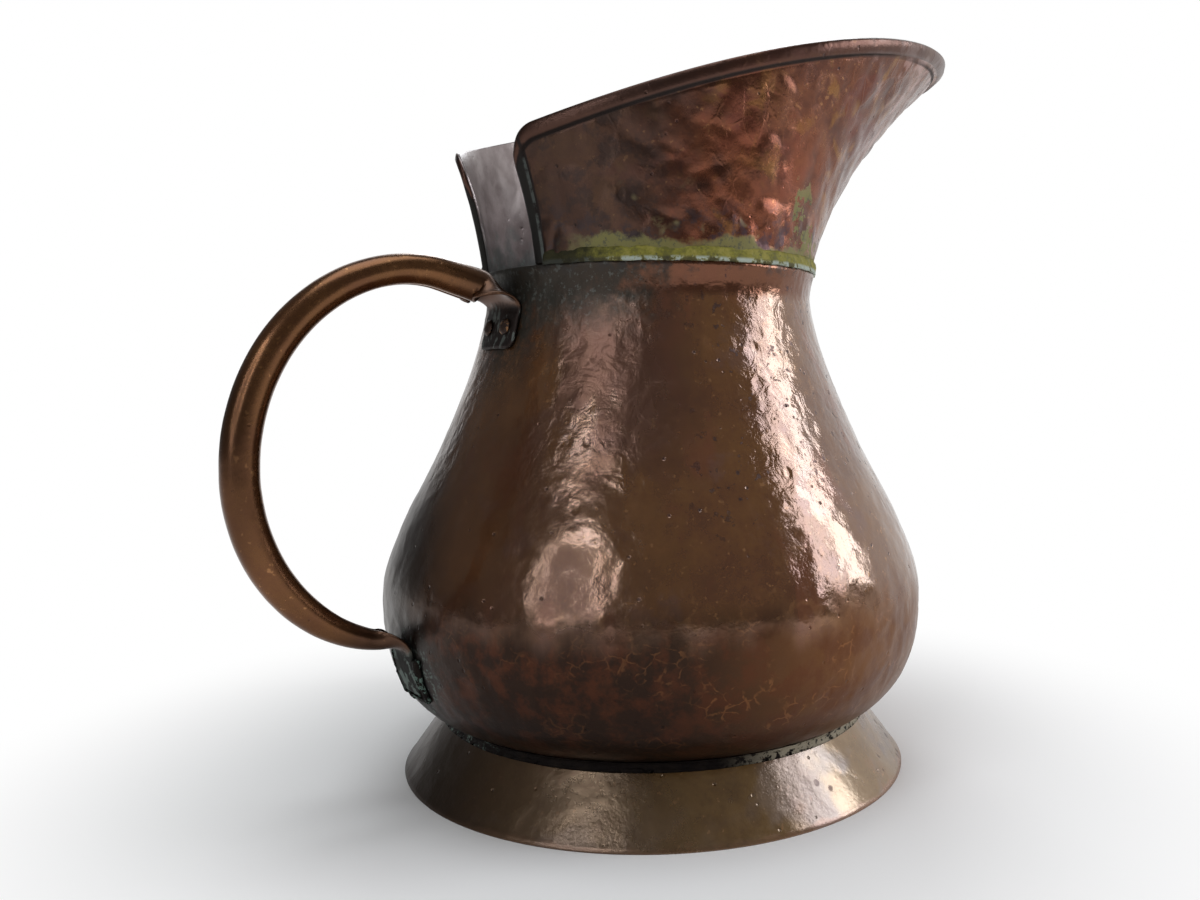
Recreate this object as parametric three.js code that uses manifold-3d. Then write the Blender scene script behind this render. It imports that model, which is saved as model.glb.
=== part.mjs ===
// A hammered copper jug: a pear-shaped body on a flared foot, a collar of sheet that rises into a
// pouring lip, and a handle rolled from one strip. Millimetres, +Z up, the lip towards +X.
// The shapes are worked out round the body's own axis. Radii and reaches are measured from it.
import * as THREE from 'three';
import { mergeVertices } from 'three/addons/utils/BufferGeometryUtils.js';
import Module from 'manifold-3d';

const wasm = await Module();
wasm.setup();

// Sheet and fits
const sheet = 1.2;              // copper sheet of the body, the collar and the foot
const strip = 1.2;              // copper strip of the handle
const clearance = 0.3;          // between any two pieces that touch

// Body: a raised pear shape, given by its outer line from the underside to the neck
const baseRadius = 62;          // flat part of the underside
const baseHeight = 20.5;
const bowlFullness = 2.5;       // exponent of the bowl between underside and belly
const bellyRadius = 107.1;
const bellyHeight = 69;
const upperBellyRadius = 99.7;
const upperBellyHeight = 95;
const shoulderRadius = 84.6;
const shoulderHeight = 125;
const throatRadius = 71.1;
const throatHeight = 157;
const waistRadius = 65.1;
const waistHeight = 180;
const neckRadius = 66.3;        // upper edge of the body, round the collar
const neckHeight = 192.5;

// Foot: a flared ring with its lower edge folded inwards
const footRadius = 100.6;
const footTopRadius = 83.4;     // where the flare meets the body
const footFlange = 7;           // width of the seat turned in under the body
const footHemHeight = 5;

// Collar: a strip of sheet bent round inside the neck, open behind
const lapDepth = 6;             // how far it reaches down inside the neck
const notchWidth = 38;          // opening behind, over the handle
const cornerRadius = 12;        // rounded upper corners of the notch
const hemWidth = 5.5;           // edges folded over outwards
const lipReach = 146;           // from the axis to the tip of the lip
const rimBack = 76;             // from the axis to the rim behind
const rimHalfWidth = 78.5;
const rimBackHeight = 237;
const rimTipHeight = 287;
const rimArch = 11.6;           // rise of the rim's line above its chord
const flareStart = 0.45;        // part of the flare that is there from the neck on

// Handle: one strip, rolled to a tube between two flat tabs
const handleReach = 166;        // from the axis to the outermost point
const handleWideHeight = 122.5; // height of that point
const archReach = 34;           // from the waist out to the top of the arch
const archRise = 4.1;           // from the neck's edge up to the top of the arch
const handleDiameter = 12.6;    // of the tube, at its outermost point
const archDiameter = 11;        // at the top of the arch
const rootDiameter = 13;        // where it comes down to the upper tab
const tailDiameter = 6;         // where it meets the lower tab
const slit = 1.4;               // between the rolled edges
const upperTabDrop = 13.5;      // from the neck's edge down to the upper tab
const upperTabLength = 15.5;
const upperTabWidth = 25;
const upperBendReach = 12;      // from the upper tab out to where the bend joins the arch
const rootOpening = 17;         // length over which the tube opens towards the upper tab
const lowerTabTop = 57;
const lowerTabLength = 14;
const lowerTabWidth = 17;
const tailBend = 2.6;           // radius of the bend over the lower tab
const tailOpening = 12;         // length over which the tube opens towards the lower tab

// Rivets, side by side through the upper tab
const rivetSpacing = 12.5;
const rivetShank = 3.4;
const rivetHead = 6.4;
const rivetHeadHeight = 1.7;
const innerHead = 5.8;          // hammered flat on the inside
const innerHeadHeight = 1;

// Solder
const collarSolderHeight = 5;
const collarSolderLip = 0.5;    // thickness of its upper edge
const footSolderDrop = 3;       // down the foot from its upper edge
const footSolderReach = 4;      // out along the bowl
const tabSolderWidth = 2.6;
const tabSolderHeight = 1.6;
const tabSolderCrest = 0.6;     // width of its flat top

// Steps of the faceted shapes
const turnSteps = 64;           // round the body and the foot
const bowlChainSteps = 40;      // of the outer line that other pieces are set against
const upperChainSteps = 100;
const bowlSteps = 8;
const upperSteps = 12;
const collarSteps = 22;         // on each side of the lip
const handleSteps = 13;         // along each half of the handle's bow
const stripSteps = 16;          // across the strip
const foldStep = 0.3;           // width of the step beside a folded edge

// The middle of the whole length is the origin, so the body's axis stands beside it
const axisX = (handleReach - lipReach) / 2;

const { lerp, smoothstep } = THREE.MathUtils;

// Metals
const metal = (color, roughness, metalness) => new THREE.MeshStandardMaterial({ color, roughness, metalness });
const brownCopper = metal(0x8a5438, 0.38, 1);
const redCopper = metal(0x93583c, 0.4, 1);
const oliveCopper = metal(0x7d6246, 0.42, 1);
const wornCopper = metal(0x96603a, 0.3, 1);
const greenSolder = metal(0x7f8440, 0.7, 0.4);
const darkSolder = metal(0x3f4a40, 0.8, 0.4);

// Closed body from its triangles: shared corners merged, faces turned outwards
function closedBody(geometry) {
  const bare = geometry.clone();
  bare.deleteAttribute('normal');
  bare.deleteAttribute('uv');
  const merged = mergeVertices(bare.toNonIndexed(), 1e-4);
  const place = merged.getAttribute('position');
  const corners = [new THREE.Vector3(), new THREE.Vector3(), new THREE.Vector3()];
  const triangles = [];
  let volume = 0;
  for (let i = 0; i < merged.index.count; i += 3) {
    const at = [0, 1, 2].map((k) => merged.index.getX(i + k));
    if (new Set(at).size < 3) continue;
    corners.forEach((point, k) => point.fromBufferAttribute(place, at[k]));
    volume += corners[0].dot(corners[1].clone().cross(corners[2]));
    triangles.push(at);
  }
  const facing = volume < 0 ? triangles.map(([a, b, c]) => [a, c, b]) : triangles;
  merged.setIndex(facing.flat());
  return merged;
}

// Solid of revolution about the axis, from points [radius, height]
function turned(profile, steps = turnSteps) {
  const line = profile.map(([radius, height]) => new THREE.Vector2(radius, height));
  const lathe = new THREE.LatheGeometry(line, steps);
  lathe.rotateX(Math.PI / 2);
  return closedBody(lathe);
}

// Closed wall between two grids of points of the same size
function wall(front, back) {
  const rows = front.length;
  const columns = front[0].length;
  const endRow = rows - 1;
  const endColumn = columns - 1;
  const index = [];
  const at = (side, i, j) => (side * rows + i) * columns + j;
  const quad = (a, b, c, d) => index.push(a, b, c, a, c, d);
  for (let i = 0; i < endRow; i += 1) {
    for (let j = 0; j < endColumn; j += 1) {
      quad(at(0, i, j), at(0, i + 1, j), at(0, i + 1, j + 1), at(0, i, j + 1));
      quad(at(1, i, j), at(1, i, j + 1), at(1, i + 1, j + 1), at(1, i + 1, j));
    }
    quad(at(0, i, 0), at(1, i, 0), at(1, i + 1, 0), at(0, i + 1, 0));
    quad(at(0, i, endColumn), at(0, i + 1, endColumn), at(1, i + 1, endColumn), at(1, i, endColumn));
  }
  for (let j = 0; j < endColumn; j += 1) {
    quad(at(0, 0, j), at(0, 0, j + 1), at(1, 0, j + 1), at(1, 0, j));
    quad(at(0, endRow, j), at(1, endRow, j), at(1, endRow, j + 1), at(0, endRow, j + 1));
  }
  const points = [...front.flat(), ...back.flat()].flatMap((point) => point.toArray());
  const geometry = new THREE.BufferGeometry();
  geometry.setAttribute('position', new THREE.Float32BufferAttribute(points, 3));
  geometry.setIndex(index);
  return closedBody(geometry);
}

// Grid moved along its own normals, by a distance for each point
function offsetGrid(grid, distance) {
  const before = (k) => Math.max(k - 1, 0);
  const after = (k, count) => Math.min(k + 1, count - 1);
  return grid.map((row, i) => row.map((point, j) => {
    const along = grid[after(i, grid.length)][j].clone().sub(grid[before(i)][j]);
    const across = row[after(j, row.length)].clone().sub(row[before(j)]);
    const normal = along.cross(across).normalize();
    return point.clone().addScaledVector(normal, distance(i, j));
  }));
}

function toManifold(geometry) {
  const mesh = new wasm.Mesh({
    numProp: 3,
    vertProperties: new Float32Array(geometry.getAttribute('position').array),
    triVerts: new Uint32Array(geometry.index.array),
  });
  return new wasm.Manifold(mesh);
}

function fromManifold(solid) {
  const mesh = solid.getMesh();
  const geometry = new THREE.BufferGeometry();
  geometry.setAttribute('position', new THREE.BufferAttribute(mesh.vertProperties, 3));
  geometry.setIndex(new THREE.BufferAttribute(mesh.triVerts, 1));
  return geometry;
}

// Point [radius, height] of the bowl, from the edge of the flat underside (0) to the belly (1)
function bowlPoint(share) {
  const turn = share * Math.PI / 2;
  const power = 2 / bowlFullness;
  return [
    lerp(baseRadius, bellyRadius, Math.sin(turn) ** power),
    lerp(bellyHeight, baseHeight, Math.cos(turn) ** power),
  ];
}

// The body's outer line as a fine chain of points [radius, height]. The curve above the belly is
// steered by a mirrored point below it, so that it starts upright where the bowl ends upright.
const bowlChain = Array.from({ length: bowlChainSteps }, (_, i) => bowlPoint(i / bowlChainSteps));
const upperCurve = new THREE.SplineCurve([
  new THREE.Vector2(upperBellyRadius, 2 * bellyHeight - upperBellyHeight),
  new THREE.Vector2(bellyRadius, bellyHeight),
  new THREE.Vector2(upperBellyRadius, upperBellyHeight),
  new THREE.Vector2(shoulderRadius, shoulderHeight),
  new THREE.Vector2(throatRadius, throatHeight),
  new THREE.Vector2(waistRadius, waistHeight),
  new THREE.Vector2(neckRadius, neckHeight),
]);
const upperStart = 1 / (upperCurve.points.length - 1);
const upperChain = Array.from({ length: upperChainSteps + 1 }, (_, i) => {
  const point = upperCurve.getPoint(lerp(upperStart, 1, i / upperChainSteps));
  return [point.x, point.y];
});
const bodyChain = [...bowlChain, ...upperChain];

// Outer radius of the body at a height, and the way its surface faces there
function bodyAt(height) {
  const last = bodyChain.length - 1;
  const next = bodyChain.findIndex((point, k) => k > 0 && (point[1] >= height || k === last));
  const [r0, z0] = bodyChain[next - 1];
  const [r1, z1] = bodyChain[next];
  const [rBelow, zBelow] = bodyChain[Math.max(next - 3, 0)];
  const [rAbove, zAbove] = bodyChain[Math.min(next + 2, last)];
  const length = Math.hypot(rAbove - rBelow, zAbove - zBelow);
  return {
    radius: lerp(r0, r1, (height - z0) / (z1 - z0)),
    normal: [(zAbove - zBelow) / length, (rBelow - rAbove) / length],
  };
}

// Point [radius, height] at a distance outside the body's surface
function offBody(height, distance) {
  const { radius, normal } = bodyAt(height);
  return [radius + normal[0] * distance, height + normal[1] * distance];
}

// Point on the body, at a distance round it from the handle's plane, lifted off the surface
function onBody(across, height, lift) {
  const angle = Math.PI - across / bodyAt(height).radius;
  const [radius, z] = offBody(height, lift);
  return new THREE.Vector3(radius * Math.cos(angle), radius * Math.sin(angle), z);
}

// Height at which something that lies under the bowl clears it, at a radius
function seatHeight(radius) {
  let low = baseHeight;
  let high = bellyHeight;
  for (let i = 0; i < 40; i += 1) {
    const middle = (low + high) / 2;
    if (offBody(middle, clearance)[0] < radius) low = middle;
    else high = middle;
  }
  return offBody(low, clearance)[1];
}

// Rivets stand square to the body, at the middle of the upper tab
const upperTabTop = neckHeight - upperTabDrop;
const upperTabBottom = upperTabTop - upperTabLength;
const rivetHeight = (upperTabTop + upperTabBottom) / 2;

function atRivet(geometry, side) {
  const across = side * rivetSpacing / 2;
  const at = onBody(across, rivetHeight, 0);
  const out = onBody(across, rivetHeight, 1).sub(at);
  geometry.applyQuaternion(new THREE.Quaternion().setFromUnitVectors(new THREE.Vector3(0, 0, 1), out));
  geometry.translate(at.x, at.y, at.z);
  return geometry;
}

// A piece with the holes of the two rivets
function drilled(geometry) {
  const radius = rivetShank / 2 + clearance;
  const length = 4 * (sheet + clearance + strip);
  let solid = toManifold(geometry);
  for (const side of [-1, 1]) {
    const hole = new THREE.CylinderGeometry(radius, radius, length, 20);
    hole.rotateX(Math.PI / 2);
    solid = solid.subtract(toManifold(closedBody(atRivet(hole, side))));
  }
  return fromManifold(solid);
}

function makeRivet(side) {
  const inside = -sheet - clearance;
  const outside = clearance + strip + clearance;
  const domeSteps = 5;
  const profile = [
    [0, inside - innerHeadHeight],
    [innerHead / 2 * 0.85, inside - innerHeadHeight * 0.8],
    [innerHead / 2, inside],
    [rivetShank / 2, inside],
    [rivetShank / 2, outside],
    [rivetHead / 2, outside],
  ];
  for (let i = 1; i < domeSteps; i += 1) {
    const turn = (i / domeSteps) * Math.PI / 2;
    profile.push([rivetHead / 2 * Math.cos(turn), outside + rivetHeadHeight * Math.sin(turn)]);
  }
  profile.push([0, outside + rivetHeadHeight]);
  return atRivet(turned(profile, 20), side);
}

function makeBody() {
  const heights = [];
  for (let i = 1; i <= bowlSteps; i += 1) heights.push(bowlPoint(i / bowlSteps)[1]);
  for (let i = 1; i < upperSteps; i += 1) heights.push(lerp(bellyHeight, neckHeight, i / upperSteps));
  const outer = heights.map((height) => offBody(height, 0));
  const inner = heights.map((height) => offBody(height, -sheet)).reverse();
  return drilled(turned([
    [0, baseHeight],
    [baseRadius, baseHeight],
    ...outer,
    [neckRadius, neckHeight],
    [neckRadius - sheet, neckHeight],
    ...inner,
    [baseRadius, baseHeight + sheet],
    [0, baseHeight + sheet],
  ]));
}

// Foot: its outer face leans in by a share of the height
const kneeHeight = seatHeight(footTopRadius);
const footLean = (footRadius - footTopRadius) / kneeHeight;
const footSlant = Math.hypot(1, footLean);
const footFace = (height) => footRadius - footLean * height;

// Outer face, seat under the body, inner face and folded edge, as one closed outline
function makeFoot() {
  const across = sheet * footSlant;
  const seat = [1, 2, 3, 4].map((k) => {
    const radius = footTopRadius - footFlange * k / 4;
    return [radius, seatHeight(radius)];
  });
  const under = seat.map(([radius, height]) => [radius, height - sheet]).reverse();
  const innerKnee = kneeHeight - across;
  return turned([
    [footRadius, 0],
    [footTopRadius, kneeHeight],
    ...seat,
    ...under,
    [footFace(innerKnee) - across, innerKnee],
    [footFace(footHemHeight) - across, footHemHeight],
    [footFace(footHemHeight) - 2 * across, footHemHeight],
    [footRadius - 2 * across, 0],
    [footRadius, 0],
  ]);
}

// Solder in the corner between the foot and the bowl
function makeFootSolder() {
  const off = clearance * footSlant;
  const low = kneeHeight - footSolderDrop / footSlant;
  const apex = kneeHeight - clearance / 2;
  const steps = 8;
  let high = kneeHeight;
  for (let i = 0; i < steps; i += 1) high += bodyAt(high).normal[0] * footSolderReach / steps;
  return turned([
    [footFace(apex) + 2 * off, apex],
    [footFace(low) + off, low],
    offBody(high, clearance),
    [footFace(apex) + 2 * off, apex],
  ]);
}

// Collar. Angles run from the tip of the lip. In plan the rim is an ellipse set forward of the axis
const collarRadius = neckRadius - sheet - clearance - sheet;
const rimLength = (lipReach + rimBack) / 2;
const rimMiddle = (lipReach - rimBack) / 2;

function rimReach(angle) {
  const a = (Math.cos(angle) / rimLength) ** 2 + (Math.sin(angle) / rimHalfWidth) ** 2;
  const b = -Math.cos(angle) * rimMiddle / rimLength ** 2;
  const c = (rimMiddle / rimLength) ** 2 - 1;
  return (-b + Math.sqrt(b * b - a * c)) / a;
}

function rimHeight(angle) {
  const share = (rimReach(angle) * Math.cos(angle) + rimBack) / (lipReach + rimBack);
  return lerp(rimBackHeight, rimTipHeight, share) + 4 * rimArch * share * (1 - share);
}

// Radius of the collar's inner face: inside the neck it follows the body, above it flares to the rim
function collarInner(angle, height) {
  if (height <= neckHeight) return bodyAt(height).radius - neckRadius + collarRadius;
  const rise = (height - neckHeight) / (rimHeight(angle) - neckHeight);
  return lerp(collarRadius, rimReach(angle), flareStart * rise + (1 - flareStart) * rise ** 2);
}

// Angle from the tip of the lip to the notch's edge, at a height
function notchAngle(height) {
  let angle = Math.PI;
  for (let i = 0; i < 6; i += 1) {
    angle = Math.PI - Math.asin(notchWidth / 2 / collarInner(angle, Math.min(height, rimHeight(angle))));
  }
  return angle;
}

// Columns of the collar from one edge of the notch to the other. The first few are given by their
// distance from the edge along the rim, and the rest by their share of the way to the lip
function collarColumns() {
  const edge = [
    0,
    hemWidth / 5,
    hemWidth / 2,
    hemWidth - foldStep / 2,
    hemWidth + foldStep / 2,
    (hemWidth + cornerRadius) / 2,
    cornerRadius,
  ];
  const half = edge.map((gap) => ({ gap, share: 1 }));
  for (let i = 1; i <= collarSteps; i += 1) half.push({ gap: cornerRadius, share: 1 - i / collarSteps });
  const otherHalf = half.slice(0, -1).reverse();
  return [...half.map((c) => ({ ...c, side: 1 })), ...otherHalf.map((c) => ({ ...c, side: -1 }))];
}

const columnAngle = ({ gap, share, side }, height) => side * share * (notchAngle(height) - gap / rimBack);

// Top of a column, with the notch's corner rounded off
function columnTop(column) {
  const inside = cornerRadius - column.gap;
  const top = rimHeight(columnAngle(column, rimBackHeight));
  return top - cornerRadius + Math.sqrt(cornerRadius ** 2 - inside ** 2);
}

const solderFoot = neckHeight + clearance;
const solderCrest = solderFoot + collarSolderHeight;

function makeCollar() {
  const columns = collarColumns();
  const sideFold = 3;           // row at which the folded side edges begin
  const openRows = [0.1, 0.22, 0.36, 0.5, 0.64, 0.77, 0.89];
  const inner = columns.map((column) => {
    const top = columnTop(column);
    const angle = columnAngle(column, top);
    const flare = (rimReach(angle) - collarRadius) * (2 - flareStart) / (rimHeight(angle) - neckHeight);
    const rimFold = top - hemWidth / Math.hypot(1, flare);
    const heights = [
      neckHeight - lapDepth,
      neckHeight,
      solderFoot + foldStep,
      solderFoot + 2 * foldStep,
      solderCrest,
      ...openRows.map((share) => lerp(solderCrest, rimFold - foldStep, share)),
      rimFold - foldStep,
      rimFold,
      top,
    ];
    return heights.map((height) => {
      const turn = columnAngle(column, height);
      const radius = collarInner(turn, height);
      return new THREE.Vector3(radius * Math.cos(turn), radius * Math.sin(turn), height);
    });
  });
  const rimFoldRow = inner[0].length - 2;
  const folded = (i, j) => j >= rimFoldRow || (j >= sideFold && columns[i].gap < hemWidth);
  const outer = offsetGrid(inner, (i, j) => -sheet * (folded(i, j) ? 2 : 1));
  return wall(outer, inner);
}

// Solder in the corner between the neck's edge and the collar, between the folded side edges
function makeCollarSolder() {
  const outside = (angle, height) => collarInner(angle, height) + sheet + clearance;
  const front = [];
  const back = [];
  for (const column of collarColumns().filter(({ gap }) => gap > hemWidth + foldStep)) {
    const angle = columnAngle(column, solderCrest);
    const at = (radius, z) => new THREE.Vector3(radius * Math.cos(angle), radius * Math.sin(angle), z);
    const crest = outside(angle, solderCrest);
    front.push([at(neckRadius + collarSolderLip, solderFoot), at(crest + collarSolderLip, solderCrest)]);
    back.push([at(outside(angle, solderFoot), solderFoot), at(crest, solderCrest)]);
  }
  return wall(front, back);
}

// Handle. Its stations follow the middle of the strip from the upper tab over the arch to the lower
// tab: distance from the axis, height, width of the strip, and how far it is rolled across, where a
// full roll is a tube and a negative one bends the strip the other way, round the body
const fullRoll = (diameter) => 2 * Math.PI - slit / ((diameter - strip) / 2);
const rolledWidth = (diameter) => fullRoll(diameter) * (diameter - strip) / 2;

function tabStations(top, length, width, roundBody) {
  const lift = clearance + strip / 2;
  return [0, 0.25, 0.5, 0.75, 1].map((share) => {
    const height = top - length * share;
    const { radius, normal } = bodyAt(height);
    const [r, z] = offBody(height, lift);
    return { r, z, width, roll: roundBody * width * normal[0] / (radius + lift) };
  });
}

// The tube between the tabs: a bend, two quarters of an oval, and a tail that narrows
function tubeStations(leave, arrive) {
  const reach = handleReach - strip / 2;
  const top = neckHeight + archRise - strip / 2;
  const topRadius = waistRadius + archReach;
  const archTurn = (radius) => Math.acos((radius - topRadius) / (reach - topRadius));
  const archHeight = (turn) => lerp(handleWideHeight, top, Math.sin(turn));
  const bendTop = archHeight(archTurn(leave.r + upperBendReach));
  const upperBend = [[0.12, 0.4], [0.36, 0.77], [0.66, 0.97]];
  const stations = upperBend.map(([out, up]) => ({
    r: leave.r + upperBendReach * out,
    z: lerp(leave.z, bendTop, up),
    diameter: rootDiameter,
  }));
  const start = archTurn(stations[upperBend.length - 1].r);
  for (let i = 1; i <= handleSteps; i += 1) {
    const turn = start * (1 - i / handleSteps);
    const pastTop = Math.max(turn - Math.PI / 2, 0) / (start - Math.PI / 2);
    stations.push({
      r: lerp(topRadius, reach, Math.cos(turn)),
      z: archHeight(turn),
      diameter: lerp(lerp(handleDiameter, archDiameter, Math.sin(turn) ** 2), rootDiameter, pastTop),
    });
  }
  const tailTaper = 2.5;        // how late the tube narrows
  for (let i = 1; i <= handleSteps; i += 1) {
    const share = i / handleSteps;
    const turn = share * Math.PI / 2;
    stations.push({
      r: lerp(arrive.r + tailBend, reach, Math.cos(turn)),
      z: lerp(handleWideHeight, arrive.z + tailBend, Math.sin(turn)),
      diameter: lerp(handleDiameter, tailDiameter, share ** tailTaper),
    });
  }
  return stations;
}

// Opens the tube towards the flat tab at each end
function openTube(station, leave, arrive) {
  const far = (tab) => Math.hypot(station.r - tab.r, station.z - tab.z);
  const roll = fullRoll(station.diameter);
  const width = rolledWidth(station.diameter);
  const [tab, opening] = far(leave) < rootOpening ? [leave, rootOpening] : [arrive, tailOpening];
  const share = smoothstep(far(tab) / opening, 0, 1);
  return { ...station, width: lerp(tab.width, width, share), roll: lerp(tab.roll, roll, share) };
}

function makeHandle() {
  const upperTab = tabStations(upperTabTop, upperTabLength, upperTabWidth, -1).reverse();
  const lowerTab = tabStations(lowerTabTop, lowerTabLength, lowerTabWidth, 1);
  const leave = upperTab[upperTab.length - 1];
  const arrive = lowerTab[0];
  const tube = tubeStations(leave, arrive).map((station) => openTube(station, leave, arrive));
  const stations = [...upperTab, ...tube, ...lowerTab];
  const last = stations.length - 1;
  const middleLine = stations.map(({ r, z }) => new THREE.Vector3(-r, 0, z));
  const line = new THREE.CatmullRomCurve3(middleLine, false, 'centripetal');
  const endTaper = 0.86;        // the tabs' ends are a little narrower
  const middle = stations.map(({ width, roll }, i) => {
    const ahead = line.getTangent(i / last);
    const inward = new THREE.Vector3(-ahead.z, 0, ahead.x);
    const across = i === 0 || i === last ? width * endTaper : width;
    const bend = roll / width;
    return Array.from({ length: stripSteps + 1 }, (_, j) => {
      const turn = bend * across * (j / stripSteps - 0.5);
      const point = middleLine[i].clone().addScaledVector(inward, (1 - Math.cos(turn)) / bend);
      point.y = Math.sin(turn) / bend;
      return point;
    });
  });
  return drilled(wall(offsetGrid(middle, () => strip / 2), offsetGrid(middle, () => -strip / 2)));
}

// Solder laid round the sides and the lower edge of the lower tab: points [across, height] of the
// tab's outline, each with the way outwards
function makeLowerTabSolder() {
  const half = lowerTabWidth / 2 + clearance;
  const low = lowerTabTop - lowerTabLength - clearance - strip / 2;
  const corner = 1;
  const sideSteps = 5;
  const cornerSteps = 3;
  const bead = [];
  for (let i = 0; i <= sideSteps; i += 1) {
    bead.push([half, lerp(lowerTabTop - corner, low + corner, i / sideSteps), 1, 0]);
  }
  for (let i = 1; i < cornerSteps; i += 1) {
    const turn = (i / cornerSteps) * Math.PI / 2;
    bead.push([half, low, Math.cos(turn), -Math.sin(turn)]);
  }
  for (let i = 0; i <= sideSteps; i += 1) bead.push([lerp(half - corner, 0, i / sideSteps), low, 0, -1]);
  const otherSide = bead.slice(0, -1).reverse().map(([q, z, dq, dz]) => [-q, z, -dq, dz]);
  const outline = [...bead, ...otherSide];
  const beside = ([q, z, dq, dz], width, lift) => onBody(q + dq * width, z + dz * width, lift);
  const front = outline.map((p) => [beside(p, tabSolderWidth, clearance), beside(p, tabSolderCrest, tabSolderHeight)]);
  const back = outline.map((p) => [beside(p, 0, clearance), beside(p, 0, tabSolderHeight)]);
  return wall(front, back);
}

const jug = new THREE.Group();
jug.position.set(axisX, 0, 0);

function add(name, geometry, material) {
  const mesh = new THREE.Mesh(geometry, material);
  mesh.name = name;
  jug.add(mesh);
}

add('body_shell', makeBody(), brownCopper);
add('foot_ring', makeFoot(), oliveCopper);
add('foot_solder', makeFootSolder(), darkSolder);
add('spout_collar', makeCollar(), redCopper);
add('collar_solder', makeCollarSolder(), greenSolder);
add('handle', makeHandle(), wornCopper);
add('lower_tab_solder', makeLowerTabSolder(), darkSolder);
add('upper_rivet_near', makeRivet(1), brownCopper);
add('upper_rivet_far', makeRivet(-1), brownCopper);

export default jug;
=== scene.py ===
# %% [markdown]
# A hammered copper jug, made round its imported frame.
# The jug is sheet metal: a pear-shaped body on a flared foot, a collar that rises into a pouring lip,
# and a handle rolled from one strip. Each piece of sheet is made here as a closed skin with a real
# thickness, and its hammer marks are real dents, because light on metal shows every one of them.

# %% The frame
import math

import bpy
import numpy as np
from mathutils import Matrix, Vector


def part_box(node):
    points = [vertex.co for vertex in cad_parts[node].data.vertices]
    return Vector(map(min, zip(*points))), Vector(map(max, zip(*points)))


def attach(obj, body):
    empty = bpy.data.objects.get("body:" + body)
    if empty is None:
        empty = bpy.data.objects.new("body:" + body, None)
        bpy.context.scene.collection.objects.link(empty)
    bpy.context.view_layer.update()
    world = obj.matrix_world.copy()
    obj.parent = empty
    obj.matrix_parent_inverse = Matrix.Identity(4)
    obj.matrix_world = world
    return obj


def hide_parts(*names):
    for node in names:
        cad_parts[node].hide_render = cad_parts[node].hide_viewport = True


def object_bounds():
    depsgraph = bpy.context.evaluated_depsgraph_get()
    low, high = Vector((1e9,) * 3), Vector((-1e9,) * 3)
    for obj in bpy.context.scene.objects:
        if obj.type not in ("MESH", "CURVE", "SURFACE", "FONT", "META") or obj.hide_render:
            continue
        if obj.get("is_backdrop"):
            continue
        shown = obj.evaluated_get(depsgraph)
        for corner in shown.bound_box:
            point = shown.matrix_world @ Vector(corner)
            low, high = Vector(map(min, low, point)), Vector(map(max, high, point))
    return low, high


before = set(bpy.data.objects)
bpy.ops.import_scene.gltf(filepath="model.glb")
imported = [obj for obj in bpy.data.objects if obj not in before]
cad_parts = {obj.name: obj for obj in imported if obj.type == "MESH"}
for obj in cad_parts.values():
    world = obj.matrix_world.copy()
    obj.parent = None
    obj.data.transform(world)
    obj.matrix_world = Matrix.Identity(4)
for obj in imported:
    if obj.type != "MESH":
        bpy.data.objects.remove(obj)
cad_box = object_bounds()
MM = 0.001
foot_low, foot_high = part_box("foot_ring")
AXIS_X = (foot_low.x + foot_high.x) / 2
print("pieces in the frame:", sorted(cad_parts))
print("the body's axis stands at x =", round(AXIS_X, 4))

# %% [markdown]
# The camera stands a little above the belly, close to the jug, so the foot and the lip both spread.
# Its place was worked out from the circles of the foot, the belly and the neck. The lens is shifted,
# because the jug doesn't stand in the middle of the picture.

# %% The camera
FOCAL_PIXELS = 1045.5
IMAGE_WIDTH = 1200
IMAGE_HEIGHT = 900
SENSOR = 36.0
AIM_PIXEL = (675.6, 440.0)
CAMERA_PLACE = (-0.2336, -0.3502, 0.1510)
CAMERA_TURN = (86.804, 0.626, -36.231)

lens = bpy.data.cameras.new("photo_lens")
lens.sensor_width = SENSOR
lens.lens = FOCAL_PIXELS / IMAGE_WIDTH * SENSOR
lens.shift_x = (IMAGE_WIDTH / 2 - AIM_PIXEL[0]) / IMAGE_WIDTH
lens.shift_y = (AIM_PIXEL[1] - IMAGE_HEIGHT / 2) / IMAGE_WIDTH
lens.clip_start = 0.01
camera = bpy.data.objects.new("photo_camera", lens)
camera.location = CAMERA_PLACE
camera.rotation_euler = [math.radians(angle) for angle in CAMERA_TURN]
bpy.context.scene.collection.objects.link(camera)
bpy.context.scene.camera = camera
print("lens", round(lens.lens, 2), "mm")

# %% [markdown]
# Node trees are long to write out one node at a time. Two small classes make them read like sums:
# Value stands for a socket, and adding or multiplying Values adds the Math nodes. Tree makes any
# other node from its type, its settings and its inputs. Both serve materials and Geometry Nodes.

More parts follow.
